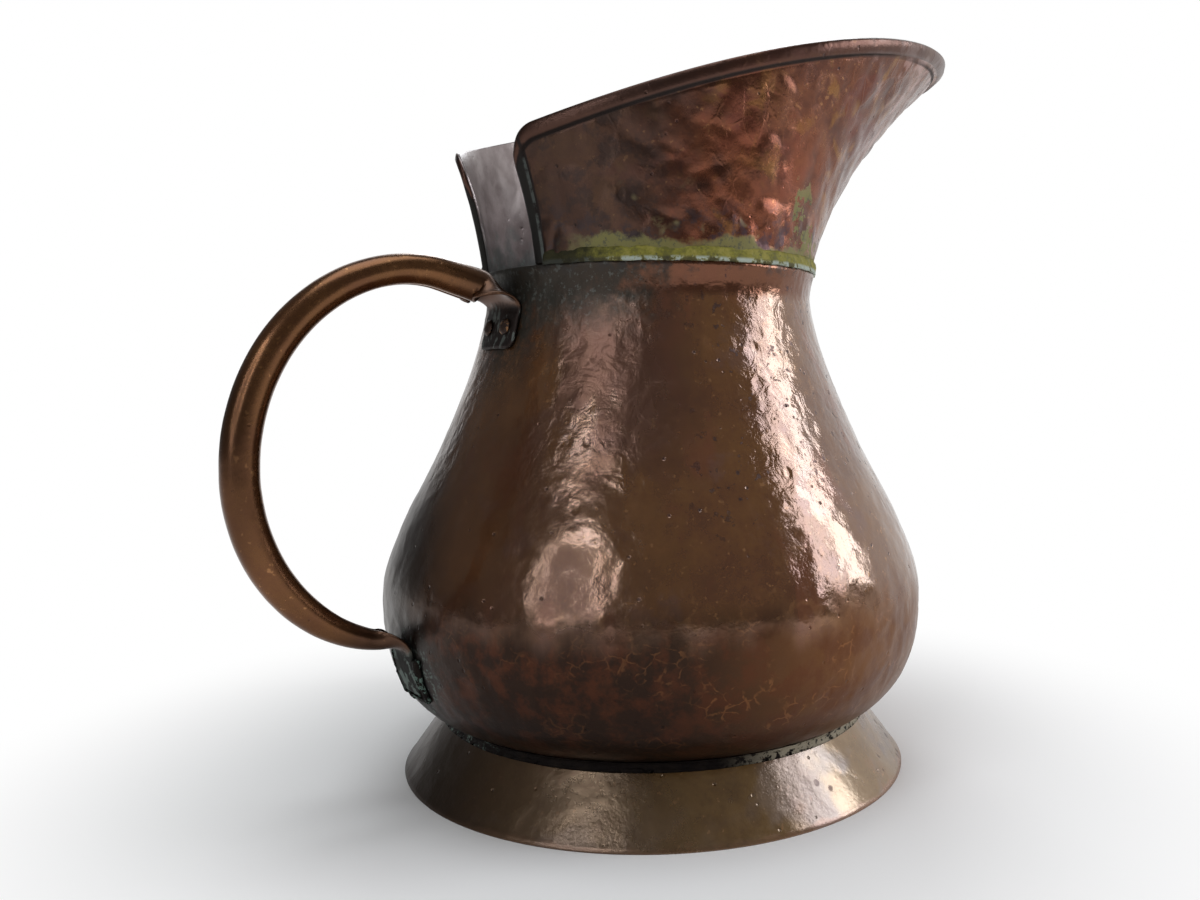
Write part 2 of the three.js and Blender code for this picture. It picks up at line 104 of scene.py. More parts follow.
# %% Sums of sockets
class Value:
    """A socket that can be used in a sum."""

    def __init__(self, tree, node, output=0):
        self.tree = tree
        self.node = node
        self.socket = node.outputs[output] if node.outputs else None

    def out(self, output):
        return Value(self.tree, self.node, output)

    def math(self, operation, *others, clamp=False):
        inputs = dict(enumerate((self,) + others))
        return self.tree.node("ShaderNodeMath", {"operation": operation, "use_clamp": clamp}, inputs)

    def __add__(self, other):
        return self.math("ADD", other)

    def __sub__(self, other):
        return self.math("SUBTRACT", other)

    def __mul__(self, other):
        return self.math("MULTIPLY", other)

    def __truediv__(self, other):
        return self.math("DIVIDE", other)

    def swapped(self, operation, other):
        return self.tree.node("ShaderNodeMath", {"operation": operation}, {0: other, 1: self})

    def __rsub__(self, other):
        return self.swapped("SUBTRACT", other)

    def __rtruediv__(self, other):
        return self.swapped("DIVIDE", other)

    __radd__ = __add__
    __rmul__ = __mul__

    def clamped(self):
        return self.math("ADD", 0.0, clamp=True)

    def torn(self, noise, amount):
        """Shifted to and fro by a noise, so that a mask made of it gets a ragged edge."""
        return self + (noise - 0.5) * amount

    def step(self, low, high):
        """0 below low, 1 above high, smooth between. With low above high it falls instead."""
        settings = {"interpolation_type": "SMOOTHSTEP"}
        inputs = {"Value": self, "From Min": min(low, high), "From Max": max(low, high)}
        if low > high:
            inputs.update({"To Min": 1.0, "To Max": 0.0})
        return self.tree.node("ShaderNodeMapRange", settings, inputs)


def linear(color):
    """A colour as it looks, 0 to 255, in the numbers that Blender mixes."""
    shares = [value / 255 for value in color]
    return [s / 12.92 if s <= 0.04045 else ((s + 0.055) / 1.055) ** 2.4 for s in shares] + [1.0]


class Tree:
    """A node tree that makes nodes from their type, settings and inputs."""

    def __init__(self, node_tree):
        self.nodes = node_tree.nodes
        self.links = node_tree.links

    def node(self, kind, settings=None, inputs=None, output=0):
        made = self.nodes.new(kind)
        for name, value in (settings or {}).items():
            if name == "stops":
                self.set_stops(made.color_ramp, value)
            else:
                setattr(made, name, value)
        for name, value in (inputs or {}).items():
            if isinstance(value, Value):
                self.links.new(value.socket, made.inputs[name])
            else:
                made.inputs[name].default_value = value
        return Value(self, made, output)

    @staticmethod
    def set_stops(ramp, stops):
        while len(ramp.elements) < len(stops):
            ramp.elements.new(1.0)
        for element, (place, color) in zip(ramp.elements, stops):
            element.position = place
            element.color = linear(color)

    def mix(self, factor, a, b):
        """Colour a where factor is 0 and b where it is 1."""
        color_a, color_b, result = 6, 7, 2
        a, b = [color if isinstance(color, Value) else linear(color) for color in (a, b)]
        return self.node("ShaderNodeMix", {"data_type": "RGBA"}, {0: factor, color_a: a, color_b: b}, result)

    def vector(self, operation, *inputs):
        return self.node("ShaderNodeVectorMath", {"operation": operation}, dict(enumerate(inputs)))

    def scaled(self, vector, factor):
        return self.node("ShaderNodeVectorMath", {"operation": "SCALE"}, {0: vector, "Scale": factor})

    def xyz(self, x, y=0.0, z=0.0):
        return self.node("ShaderNodeCombineXYZ", None, {0: x, 1: y, 2: z})

    def parts(self, vector):
        """A vector taken apart. As a Value it is x, and its outputs Y and Z are the others."""
        return self.node("ShaderNodeSeparateXYZ", None, {0: vector})

    def noise(self, place, size, detail=3.0, roughness=0.55, distortion=0.0):
        """Soft random blotches of about the given size in metres."""
        inputs = {"Vector": place, "Scale": 1 / size, "Detail": detail, "Roughness": roughness,
                  "Distortion": distortion}
        return self.node("ShaderNodeTexNoise", None, inputs)

    def cells(self, place, size, feature="F1"):
        """Random cells of about the given size in metres."""
        return self.node("ShaderNodeTexVoronoi", {"feature": feature}, {"Vector": place, "Scale": 1 / size})

    def ramp(self, colors, factor):
        """Colours in even steps along a factor."""
        stops = [(i / (len(colors) - 1), color) for i, color in enumerate(colors)]
        return self.node("ShaderNodeValToRGB", {"stops": stops}, {"Fac": factor})


# %% [markdown]
# A photograph's studio is a pale floor, a pale wall behind the object and a few soft lamps. Copper
# shows what it mirrors, so the room matters as much as the metal: the wall stands only behind the
# jug, and the open room in front is a plain grey, which leaves the front of the jug its own colour.

# %% Floor and wall
ROOM_RADIUS = 4.0
WALL_HEIGHT = 4.0
WALL_FROM = -28.0
WALL_TO = 92.0
FLOOR_STEPS, WALL_STEPS = 64, 40
FLOOR_COLOR = (0.97, 0.94, 0.92)
ROOM_GREY = 0.14


def stage_object(name, points, faces, material):
    mesh = bpy.data.meshes.new(name)
    mesh.from_pydata(points, [], faces)
    mesh.materials.append(material)
    made = bpy.data.objects.new(name, mesh)
    bpy.context.scene.collection.objects.link(made)
    made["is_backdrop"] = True


def pale_material(name, white_from, white_to):
    """A pale surface that is plain white to the camera and in mirrors, from a distance on."""
    material = bpy.data.materials.new(name)
    material.use_nodes = True
    material.node_tree.nodes.clear()
    tree = Tree(material.node_tree)
    place = tree.node("ShaderNodeTexCoord").out("Object")
    flat = tree.vector("MULTIPLY", place, (1.0, 1.0, 0.0))
    distance = tree.node("ShaderNodeVectorMath", {"operation": "LENGTH"}, {0: flat}, "Value")
    rays = tree.node("ShaderNodeLightPath")
    seen = rays.out("Is Camera Ray") + rays.out("Is Glossy Ray") + rays.out("Is Transmission Ray")
    factor = seen.clamped() * distance.step(white_from, white_to)
    plain = tree.node("ShaderNodeBsdfDiffuse", None, {"Color": (*FLOOR_COLOR, 1.0)})
    white = tree.node("ShaderNodeEmission", None, {"Color": (1.0, 1.0, 1.0, 1.0), "Strength": 1.0})
    mixed = tree.node("ShaderNodeMixShader", None, {0: factor, 1: plain, 2: white})
    tree.node("ShaderNodeOutputMaterial", None, {"Surface": mixed})
    return material


def arc_points(start, stop, steps, height, radius=ROOM_RADIUS):
    angles = np.radians(np.linspace(start, stop, steps + 1))
    return [(radius * math.cos(a), radius * math.sin(a), height) for a in angles]


floor_points = arc_points(0, 360, FLOOR_STEPS, 0.0, 1.02 * ROOM_RADIUS)[:-1]
stage_object("floor", floor_points, [tuple(range(FLOOR_STEPS))], pale_material("pale_floor", 0.10, 0.28))
wall_points = arc_points(WALL_FROM, WALL_TO, WALL_STEPS, 0.0)
wall_points += arc_points(WALL_FROM, WALL_TO, WALL_STEPS, WALL_HEIGHT)
wall_faces = [(i, i + 1, i + WALL_STEPS + 2, i + WALL_STEPS + 1) for i in range(WALL_STEPS)]
stage_object("wall", wall_points, wall_faces, pale_material("pale_wall", 0.0, 0.1))

world = bpy.data.worlds.new("room")
bpy.context.scene.world = world
world.use_nodes = True
background = world.node_tree.nodes["Background"]
background.inputs["Color"].default_value = (ROOM_GREY, ROOM_GREY, ROOM_GREY, 1.0)
bpy.context.scene.view_settings.view_transform = "Standard"
print("wall from", WALL_FROM, "to", WALL_TO, "degrees round the jug")

# %% [markdown]
# The highlights on the body, the collar and the foot say where the windows were and how wide. The one
# on the right has two panes with a bar between them. The one on the left is bright along its frame and
# dim in the middle, so it mirrors as a ring in the belly. A wide lamp overhead only fills the shadows,
# and one behind the jug draws a bright line on the edges that turn away.

# %% Lamps
LAMP_DISTANCE = 1.3
AIM_HEIGHT = 0.13
COOL_WHITE = (0.90, 0.96, 1.0)
LILAC_WHITE = (0.93, 0.92, 1.0)
# Azimuth, elevation, width and height in degrees, then radiance and colour
LAMPS = {
    "right_pane": (-33, 22, 11, 30, 8.5, COOL_WHITE),
    "middle_pane": (-46, 22, 10, 28, 5.5, LILAC_WHITE),
    "left_frame_top": (-159.5, 37, 17, 1.8, 19.0, COOL_WHITE),
    "left_frame_bottom": (-159.5, 7, 14, 1.6, 17.0, COOL_WHITE),
    "left_frame_near": (-147, 22, 1.6, 20, 19.0, COOL_WHITE),
    "left_frame_far": (-172, 22, 1.6, 20, 13.0, COOL_WHITE),
    "left_pane": (-159.5, 22, 21, 26, 0.75, LILAC_WHITE),
    "ceiling": (-125, 84, 40, 40, 2.6, COOL_WHITE),
    "back_window": (55, 32, 28, 24, 4.0, COOL_WHITE),
}


def soft_lamp(name, azimuth, elevation, width, height, radiance, color):
    """A flat lamp that faces the middle of the jug. Its sizes are angles as the jug sees them."""
    lamp = bpy.data.lights.new(name, "AREA")
    lamp.shape = "RECTANGLE"
    lamp.size, lamp.size_y = [2 * LAMP_DISTANCE * math.tan(math.radians(a / 2)) for a in (width, height)]
    lamp.energy = radiance * math.pi * lamp.size * lamp.size_y
    lamp.color = color
    made = bpy.data.objects.new(name, lamp)
    turn, tilt = math.radians(azimuth), math.radians(elevation)
    away = LAMP_DISTANCE * math.cos(tilt)
    made.location = (AXIS_X + away * math.cos(turn), away * math.sin(turn),
                     AIM_HEIGHT + LAMP_DISTANCE * math.sin(tilt))
    made.rotation_euler = (math.pi / 2 - tilt, 0, turn + math.pi / 2)
    bpy.context.scene.collection.objects.link(made)


for name, values in LAMPS.items():
    soft_lamp(name, *values)
print(len(LAMPS), "lamps,", LAMP_DISTANCE, "m from the jug")

# %% [markdown]
# Sheet that was raised by hammer is covered with shallow dents that meet in soft ridges. A
# Geometry Nodes tree can press them into any skin: random cells give each blow its place, the
# distance to a cell's edge gives the dent its dish, and a slow noise makes the sheet uneven. The
# tree also keeps how close each point is to a ridge, so that the finish can polish the ridges.

# %% A tree for modifiers
SOCKETS = {float: "NodeSocketFloat", int: "NodeSocketInt", tuple: "NodeSocketVector"}


def titled(name):
    """A name as a tree shows it: wave_spacing is Wave Spacing."""
    return name.replace("_", " ").title()


class ModifierTree(Tree):
    """A Geometry Nodes tree with a named input for each size, which is given with its usual value."""

    def __init__(self, name, **sizes):
        self.group = bpy.data.node_groups.new(name, "GeometryNodeTree")
        self.group.is_modifier = True
        super().__init__(self.group)
        self.add_socket("Geometry", "NodeSocketGeometry")
        for size, value in sizes.items():
            self.add_socket(titled(size), SOCKETS[type(value)]).default_value = value
        self.add_socket("Material", "NodeSocketMaterial")
        self.add_socket("Geometry", "NodeSocketGeometry", "OUTPUT")
        self.inputs = self.node("NodeGroupInput")
        self.position = self.node("GeometryNodeInputPosition")

    def add_socket(self, title, kind, way="INPUT"):
        return self.group.interface.new_socket(title, in_out=way, socket_type=kind)

    def given(self, title):
        return self.inputs.out(title)

    def carried(self, name):
        """A number that each point carries."""
        return self.node("GeometryNodeInputNamedAttribute", {"data_type": "FLOAT"}, {"Name": name})

    def store(self, geometry, name, value):
        inputs = {"Geometry": geometry, "Name": name, "Value": value}
        return self.node("GeometryNodeStoreNamedAttribute", {"data_type": "FLOAT", "domain": "POINT"}, inputs)

    def moved(self, geometry, place):
        return self.node("GeometryNodeSetPosition", None, {"Geometry": geometry, "Position": place})

    def swollen(self, geometry, height):
        """The surface moved outwards by a height."""
        offset = self.scaled(self.node("GeometryNodeInputNormal"), height)
        return self.node("GeometryNodeSetPosition", None, {"Geometry": geometry, "Offset": offset})

    def end(self, geometry):
        """Makes instances real, sets the material and hands the result out."""
        real = self.node("GeometryNodeRealizeInstances", None, {"Geometry": geometry})
        inputs = {"Geometry": real, "Material": self.given("Material")}
        self.node("NodeGroupOutput", None, {"Geometry": self.node("GeometryNodeSetMaterial", None, inputs)})
        return self.group


def run_tree(piece, group, material, **sizes):
    """Adds a tree to a piece as a modifier, with its inputs set by their identifiers."""
    values = {"Material": material, **{titled(size): value for size, value in sizes.items()}}
    modifier = piece.modifiers.new(group.name, "NODES")
    modifier.node_group = group
    for socket in group.interface.items_tree:
        if socket.in_out == "INPUT" and socket.name in values:
            modifier[socket.identifier] = values[socket.name]


def made_plain(piece):
    """Turns what the modifiers give into the piece's own mesh, with smooth faces."""
    bpy.context.view_layer.update()
    graph = bpy.context.evaluated_depsgraph_get()
    mesh = bpy.data.meshes.new_from_object(
        piece.evaluated_get(graph), preserve_all_data_layers=True, depsgraph=graph)
    piece.modifiers.clear()
    piece.data = mesh
    mesh.name = piece.name
    if signed_volume(mesh) < 0:
        mesh.flip_normals()
    smooth = np.ones(len(mesh.polygons), bool)
    mesh.polygons.foreach_set("use_smooth", smooth)
    mesh.update()
    triangles = sum(len(polygon.vertices) - 2 for polygon in mesh.polygons)
    print(piece.name, "has", triangles, "triangles")
    return piece


def signed_volume(mesh):
    mesh.calc_loop_triangles()
    points = np.empty(len(mesh.vertices) * 3)
    mesh.vertices.foreach_get("co", points)
    corners = np.empty(len(mesh.loop_triangles) * 3, int)
    mesh.loop_triangles.foreach_get("vertices", corners)
    a, b, c = points.reshape(-1, 3)[corners.reshape(-1, 3)].transpose(1, 0, 2)
    return float((a * np.cross(b, c)).sum() / 6)


# %% Hammer marks
def hammer_tree():
    tree = ModifierTree("hammer_marks", spacing=9 * MM, depth=0.15 * MM, stretch=(1.0, 1.0, 1.0),
                        wave=0.3 * MM, wave_spacing=35 * MM, seed=1)
    spacing, mask = tree.given("Spacing"), tree.carried("marks")
    apart = tree.given("Seed") * 0.37
    place = tree.vector("ADD", tree.position, tree.xyz(apart, apart * 0.6))
    warp = tree.noise(place, spacing * 2.5, 2.0, 0.5).out("Color")
    warp = tree.scaled(tree.vector("SUBTRACT", warp, (0.5, 0.5, 0.5)), spacing * 1.3)
    blows = tree.vector("MULTIPLY", tree.vector("ADD", place, warp), tree.given("Stretch"))
    cell = tree.cells(blows, spacing)
    share = (tree.cells(blows, spacing, "DISTANCE_TO_EDGE") / 0.36).clamped()
    dish = share * (2.0 - share)
    force = tree.parts(cell.out("Color"))
    dent = dish * (0.35 + force * 1.1) * tree.given("Depth")
    slow = tree.noise(place, tree.given("Wave Spacing"), 1.5, 0.5)
    wave = (slow - 0.62) * 2.0 * tree.given("Wave")
    pressed = tree.swollen(tree.given("Geometry"), (wave - dent) * mask)
    return tree.end(tree.store(pressed, "ridge", (1.0 - dish) * mask))


HAMMER_MARKS = hammer_tree()
print("hammer marks ready:", len(HAMMER_MARKS.nodes), "nodes")

# %% [markdown]
# The body is a shape turned about its axis, and so is the foot. The object starts as nothing but
# its profile, a line of points whose x is the radius. A second tree reads that line by its point
# numbers and lays it round the axis on a grid, so the profile can be changed at any time. What the
# points carry is stored on the grid first, because a point's row is read from its place on the grid.

# %% A lathe
def lathe_tree():
    tree = ModifierTree("lathe", columns=360, axis=0.0)
    line = tree.given("Geometry")
    rows = tree.node("GeometryNodeAttributeDomainSize", {"component": "MESH"}, {"Geometry": line})
    grid = tree.node("GeometryNodeMeshGrid", None, {
        "Size X": 1.0, "Size Y": 1.0, "Vertices X": tree.given("Columns") + 1, "Vertices Y": rows})
    place = tree.parts(tree.position)
    turn = (place + 0.5) * (2 * math.pi)
    row = ((place.out("Y") + 0.5) * (rows - 1.0)).math("ROUND")

    def read(kind, data):
        inputs = {"Geometry": line, "Value": data, "Index": row}
        return tree.node("GeometryNodeSampleIndex", {"data_type": kind, "domain": "POINT"}, inputs)

    for name in ("marks", "inside"):
        grid = tree.store(grid, name, read("FLOAT", tree.carried(name)))
    point = tree.parts(read("FLOAT_VECTOR", tree.position))
    across = point * turn.math("COSINE") + tree.given("Axis")
    laid = tree.moved(grid, tree.xyz(across, point * turn.math("SINE"), point.out("Z")))
    closed = tree.node("GeometryNodeMergeByDistance", None, {"Geometry": laid, "Distance": 0.01 * MM})
    return tree.end(closed)


LATHE = lathe_tree()
print("lathe ready:", len(LATHE.nodes), "nodes")


def new_object(mesh, numbers):
    """An object for a mesh whose points carry some numbers, given as name: one for each point."""
    for name, values in numbers.items():
        attribute = mesh.attributes.new(name, "FLOAT", "POINT")
        attribute.data.foreach_set("value", np.asarray(values, np.float32).ravel())
    made = bpy.data.objects.new(mesh.name, mesh)
    bpy.context.scene.collection.objects.link(made)
    return made


def line_object(name, line, **numbers):
    """An object whose mesh is one line of points, given as radius and height."""
    mesh = bpy.data.meshes.new(name)
    points = [(radius, 0.0, height) for radius, height in line]
    mesh.from_pydata(points, [(i, i + 1) for i in range(len(points) - 1)], [])
    return new_object(mesh, numbers)


def between(a, b, share):
    return a + (b - a) * share


def smooth_line(points, count, lead=None):
    """A smooth line through the points, evenly spaced. It starts as if it came from the lead."""
    points = np.asarray(points, float)
    lead = 2 * points[0] - points[1] if lead is None else lead
    ends = np.vstack([lead, points, 2 * points[-1] - points[-2]])
    t = np.linspace(0, 1, 24, endpoint=False)[:, None]
    fine = []
    for before, start, stop, after in zip(ends, ends[1:], ends[2:], ends[3:]):
        bend = 2 * before - 5 * start + 4 * stop - after
        twist = 3 * start - before - 3 * stop + after
        fine.append(start + 0.5 * ((stop - before) * t + bend * t ** 2 + twist * t ** 3))
    return resampled(np.vstack(fine + [points[-1:]]), count)


def resampled(line, count):
    """The same line with evenly spaced points. Columns after the first two go along unmeasured."""
    line = np.asarray(line, float)
    length = np.concatenate([[0], np.cumsum(np.linalg.norm(np.diff(line[:, :2], axis=0), axis=1))])
    at = np.linspace(0, length[-1], count)
    return np.column_stack([np.interp(at, length, column) for column in line.T])


# %% [markdown]
# The body's outline has a full bowl below, like a drop, and a slender neck above. Its driving sizes
# are those of the frame's solid. Below the belly it follows a rounded square, and above it a smooth
# line through the shoulder and the throat.

# %% The body's outline
SHEET = 1.2 * MM
BASE_RADIUS, BASE_HEIGHT = 62 * MM, 20.5 * MM
BELLY_RADIUS, BELLY_HEIGHT = 107.1 * MM, 69 * MM
BOWL_FULLNESS = 2.5
UPPER_LINE = np.array([
    (BELLY_RADIUS / MM, BELLY_HEIGHT / MM), (99.7, 95), (84.6, 125), (71.1, 157), (65.1, 180), (66.3, 192.5),
]) * MM
NECK_RADIUS, NECK_HEIGHT = UPPER_LINE[-1]


def bowl_line(count):
    turn = np.linspace(0, math.pi / 2, count)
    power = 2 / BOWL_FULLNESS
    radius = between(BASE_RADIUS, BELLY_RADIUS, np.sin(turn) ** power)
    height = between(BELLY_HEIGHT, BASE_HEIGHT, np.cos(turn) ** power)
    return np.column_stack([radius, height])


BELOW_BELLY = (UPPER_LINE[1, 0], 2 * BELLY_HEIGHT - UPPER_LINE[1, 1])
BODY_LINE = np.vstack([bowl_line(200)[:-1], smooth_line(UPPER_LINE, 300, BELOW_BELLY)])


def body_radius(height):
    return np.interp(height, BODY_LINE[:, 1], BODY_LINE[:, 0])


def body_normal(height):
    """The way the body's surface faces at a height: outwards and upwards."""
    step = 2 * MM
    rise = body_radius(height + step) - body_radius(height - step)
    length = np.hypot(rise, 2 * step)
    return 2 * step / length, -rise / length


def off_body(height, distance):
    out, up = body_normal(height)
    return body_radius(height) + out * distance, height + up * distance


def offset_line(line, distance):
    """A line in the radius-height plane moved sideways, to its right where distance is positive."""
    ahead = np.gradient(line, axis=0)
    ahead /= np.linalg.norm(ahead, axis=1)[:, None]
    return line + np.column_stack([ahead[:, 1], -ahead[:, 0]]) * distance


# %% The body
OUTER_ROWS = 140
INNER_ROWS = 40
# The lowest part of the belly was struck hardest: heights, and the share of the usual depth there
STRUCK_HEIGHTS = np.array([34, 46, 66, 84]) * MM
STRUCK_SHARES = [1.0, 1.9, 1.9, 1.0]


def make_body():
    outer = resampled(BODY_LINE, OUTER_ROWS)
    inner = offset_line(resampled(BODY_LINE, INNER_ROWS), -SHEET)[::-1]
    under = [(BASE_RADIUS * share, BASE_HEIGHT) for share in (0.0, 0.35, 0.75)]
    rim = [(NECK_RADIUS - share * SHEET, NECK_HEIGHT + 0.25 * SHEET) for share in (0.3, 0.7)]
    bottom = [(BASE_RADIUS * share, BASE_HEIGHT + SHEET) for share in (0.75, 0.0)]
    line = np.vstack([under, outer, rim, inner, bottom])
    start = len(under)
    stop = start + len(outer)
    marks, inside = np.zeros(len(line)), np.zeros(len(line))
    marks[start + 2:stop - 2] = np.interp(outer[2:-2, 1], STRUCK_HEIGHTS, STRUCK_SHARES)
    marks[stop + len(rim) + 2:-len(bottom) - 1] = 0.4
    inside[stop + 1:] = 1.0
    return line_object("copper_body", line, marks=marks, inside=inside)


def hammered(piece, material, **blows):
    run_tree(piece, HAMMER_MARKS, material, **blows)
    return made_plain(piece)


def turned(piece, material, columns, **blows):
    run_tree(piece, LATHE, material, columns=columns, axis=AXIS_X)
    return hammered(piece, material, **blows)


# %% [markdown]
# The foot is a cone of sheet that flares down to the table. A narrow seat is turned in at its top
# and carries the body, and its lower edge is folded inwards, so that it stands on a double edge.

# %% The foot
CLEARANCE = 0.3 * MM
FOOT_RADIUS = (foot_high.x - foot_low.x) / 2
FOOT_TOP_RADIUS = 83.4 * MM
FOOT_FLANGE = 7 * MM
FOOT_HEM = 5 * MM


def seat_height(radius):
    """Height at which something under the bowl clears it, at a radius."""
    heights = np.linspace(BASE_HEIGHT, BELLY_HEIGHT, 400)
    out, up = off_body(heights, CLEARANCE)
    return float(np.interp(radius, out, up))


KNEE = seat_height(FOOT_TOP_RADIUS)
FOOT_LEAN = (FOOT_RADIUS - FOOT_TOP_RADIUS) / KNEE


def foot_face(height):
    return FOOT_RADIUS - FOOT_LEAN * height


def make_foot():
    thick = SHEET * math.hypot(1, FOOT_LEAN)
    face = [(foot_face(height), height) for height in np.linspace(0.5 * MM, KNEE, 20)]
    seat = [(r, seat_height(r)) for r in FOOT_TOP_RADIUS - FOOT_FLANGE * np.array([0.25, 0.5, 0.75, 1.0])]
    under = [(r, z - SHEET) for r, z in seat[::-1]]
    back = [(foot_face(z) - thick, z) for z in np.linspace(KNEE - thick, FOOT_HEM + 0.3 * MM, 10)]
    hem = [(foot_face(FOOT_HEM) - 2 * thick, FOOT_HEM), (FOOT_RADIUS - 2 * thick, 0.5 * MM)]
    edge = [(FOOT_RADIUS - share * thick, 0.0) for share in (1.7, 0.3)]
    line = face + seat + under + back + hem + edge + face[:1]
    marks = np.zeros(len(line))
    marks[1:len(face) - 1] = 1.0
    return line_object("copper_foot", line, marks=marks)


# %% [markdown]
# The collar is one strip of sheet bent round inside the neck. In plan its rim is an ellipse that is
# set forward, and it rises from the notch behind to the tip of the lip. All free edges are folded
# over outwards as a flat hem, so the sheet is twice as thick there and a step runs below the rim.

# %% The collar
LAP_DEPTH = 6 * MM
NOTCH_WIDTH = 38 * MM
CORNER = 12 * MM
HEM = 5.5 * MM
FOLD = 0.35 * MM
LIP_REACH = 146 * MM
RIM_BACK = 76 * MM
RIM_HALF_WIDTH = 78.5 * MM
RIM_BACK_HEIGHT = 237 * MM
RIM_TIP_HEIGHT = 287 * MM
RIM_ARCH = 11.6 * MM
FLARE_START = 0.45
COLLAR_RADIUS = NECK_RADIUS - SHEET - CLEARANCE - SHEET
RIM_LENGTH = (LIP_REACH + RIM_BACK) / 2
RIM_MIDDLE = (LIP_REACH - RIM_BACK) / 2


def rim_reach(angle):
    """From the axis to the rim, at an angle from the tip of the lip."""
    a = (np.cos(angle) / RIM_LENGTH) ** 2 + (np.sin(angle) / RIM_HALF_WIDTH) ** 2
    b = -np.cos(angle) * RIM_MIDDLE / RIM_LENGTH ** 2
    c = (RIM_MIDDLE / RIM_LENGTH) ** 2 - 1
    return (-b + np.sqrt(b * b - a * c)) / a


def rim_height(angle):
    share = (rim_reach(angle) * np.cos(angle) + RIM_BACK) / (LIP_REACH + RIM_BACK)
    return between(RIM_BACK_HEIGHT, RIM_TIP_HEIGHT, share) + 4 * RIM_ARCH * share * (1 - share)


def collar_inner(angle, height):
    inside = body_radius(height) - NECK_RADIUS + COLLAR_RADIUS
    rise = np.maximum((height - NECK_HEIGHT) / (rim_height(angle) - NECK_HEIGHT), 0)
    flare = FLARE_START * rise + (1 - FLARE_START) * rise ** 2
    return np.where(height <= NECK_HEIGHT, inside, between(COLLAR_RADIUS, rim_reach(angle), flare))


def notch_angle(height):
    angle = np.full_like(height, math.pi)
    for _ in range(6):
        reach = collar_inner(angle, np.minimum(height, rim_height(angle)))
        angle = math.pi - np.arcsin(NOTCH_WIDTH / 2 / reach)
    return angle


def collar_angle(gap, share, height):
    return share * (notch_angle(height) - gap / RIM_BACK)


def wall_mesh(name, front, back, **numbers):
    """A closed wall between two grids of points. Each number it carries is given for front and back."""
    rows, columns = front.shape[:2]
    points = np.concatenate([front.reshape(-1, 3), back.reshape(-1, 3)])
    f, b = np.arange(2 * rows * columns).reshape(2, rows, columns)

    def quads(*corners):
        return np.stack(corners, -1).reshape(-1, 4)

    faces = [
        quads(f[:-1, :-1], f[1:, :-1], f[1:, 1:], f[:-1, 1:]),
        quads(b[:-1, :-1], b[:-1, 1:], b[1:, 1:], b[1:, :-1]),
        quads(f[:-1, 0], b[:-1, 0], b[1:, 0], f[1:, 0]),
        quads(f[:-1, -1], f[1:, -1], b[1:, -1], b[:-1, -1]),
        quads(f[0, :-1], f[0, 1:], b[0, 1:], b[0, :-1]),
        quads(f[-1, :-1], b[-1, :-1], b[-1, 1:], f[-1, 1:]),
    ]
    mesh = bpy.data.meshes.new(name)
    mesh.from_pydata(points.tolist(), [], np.vstack(faces).tolist())
    plain = np.zeros(front.shape[:2])
    pairs = {title: [plain + face for face in pair] for title, pair in numbers.items()}
    return new_object(mesh, pairs)


def grid_normals(grid):
    along = np.gradient(grid, axis=0)
    across = np.gradient(grid, axis=1)
    normal = np.cross(along, across)
    return normal / np.linalg.norm(normal, axis=2)[..., None]


def collar_columns(steps):
    """Gap from the notch's edge, and share of the way round from the lip, for each column."""
    near = np.array([0, 0.25, 0.6, 1.5, 3, 4.4]) * MM
    far = np.linspace(HEM + FOLD / 2, CORNER, 8)
    gaps = np.concatenate([near, [HEM - FOLD / 2], far])
    half_gap = np.concatenate([gaps, np.full(steps, CORNER)])
    half_share = np.concatenate([np.ones(len(gaps)), 1 - np.arange(1, steps + 1) / steps])
    gap = np.concatenate([half_gap, half_gap[-2::-1]])
    share = np.concatenate([half_share, -half_share[-2::-1]])
    return gap, share


def collar_grid(steps, open_rows):
    """Points of the collar's inner face, and for each the distance below the rim's edge."""
    gap, share = collar_columns(steps)
    at_rim = collar_angle(gap, share, np.full_like(gap, RIM_BACK_HEIGHT))
    top = rim_height(at_rim) - CORNER + np.sqrt(CORNER ** 2 - (CORNER - gap) ** 2)
    slope = (rim_reach(at_rim) - COLLAR_RADIUS) * (2 - FLARE_START) / (rim_height(at_rim) - NECK_HEIGHT)
    rim_fold = top - HEM / np.hypot(1, slope)
    low = np.array([NECK_HEIGHT - LAP_DEPTH, NECK_HEIGHT - LAP_DEPTH / 2, NECK_HEIGHT])
    start = NECK_HEIGHT + CLEARANCE + FOLD
    levels = [np.full_like(gap, height) for height in low]
    levels += [between(start, rim_fold - FOLD, s) for s in np.linspace(0, 1, open_rows)]
    levels += [between(rim_fold, top, s) for s in (0, 0.3, 0.65, 0.93, 1)]
    height = np.stack(levels, 1)
    angle = collar_angle(gap[:, None], share[:, None], height)
    radius = collar_inner(angle, height)
    grid = np.stack([AXIS_X + radius * np.cos(angle), radius * np.sin(angle), height], -1)
    return grid, gap, top[:, None] - height


RIM_ROWS = 5
LOW_ROWS = 3
EDGE_SHARE = 0.55
EDGE_WIDTH = 1.2 * MM


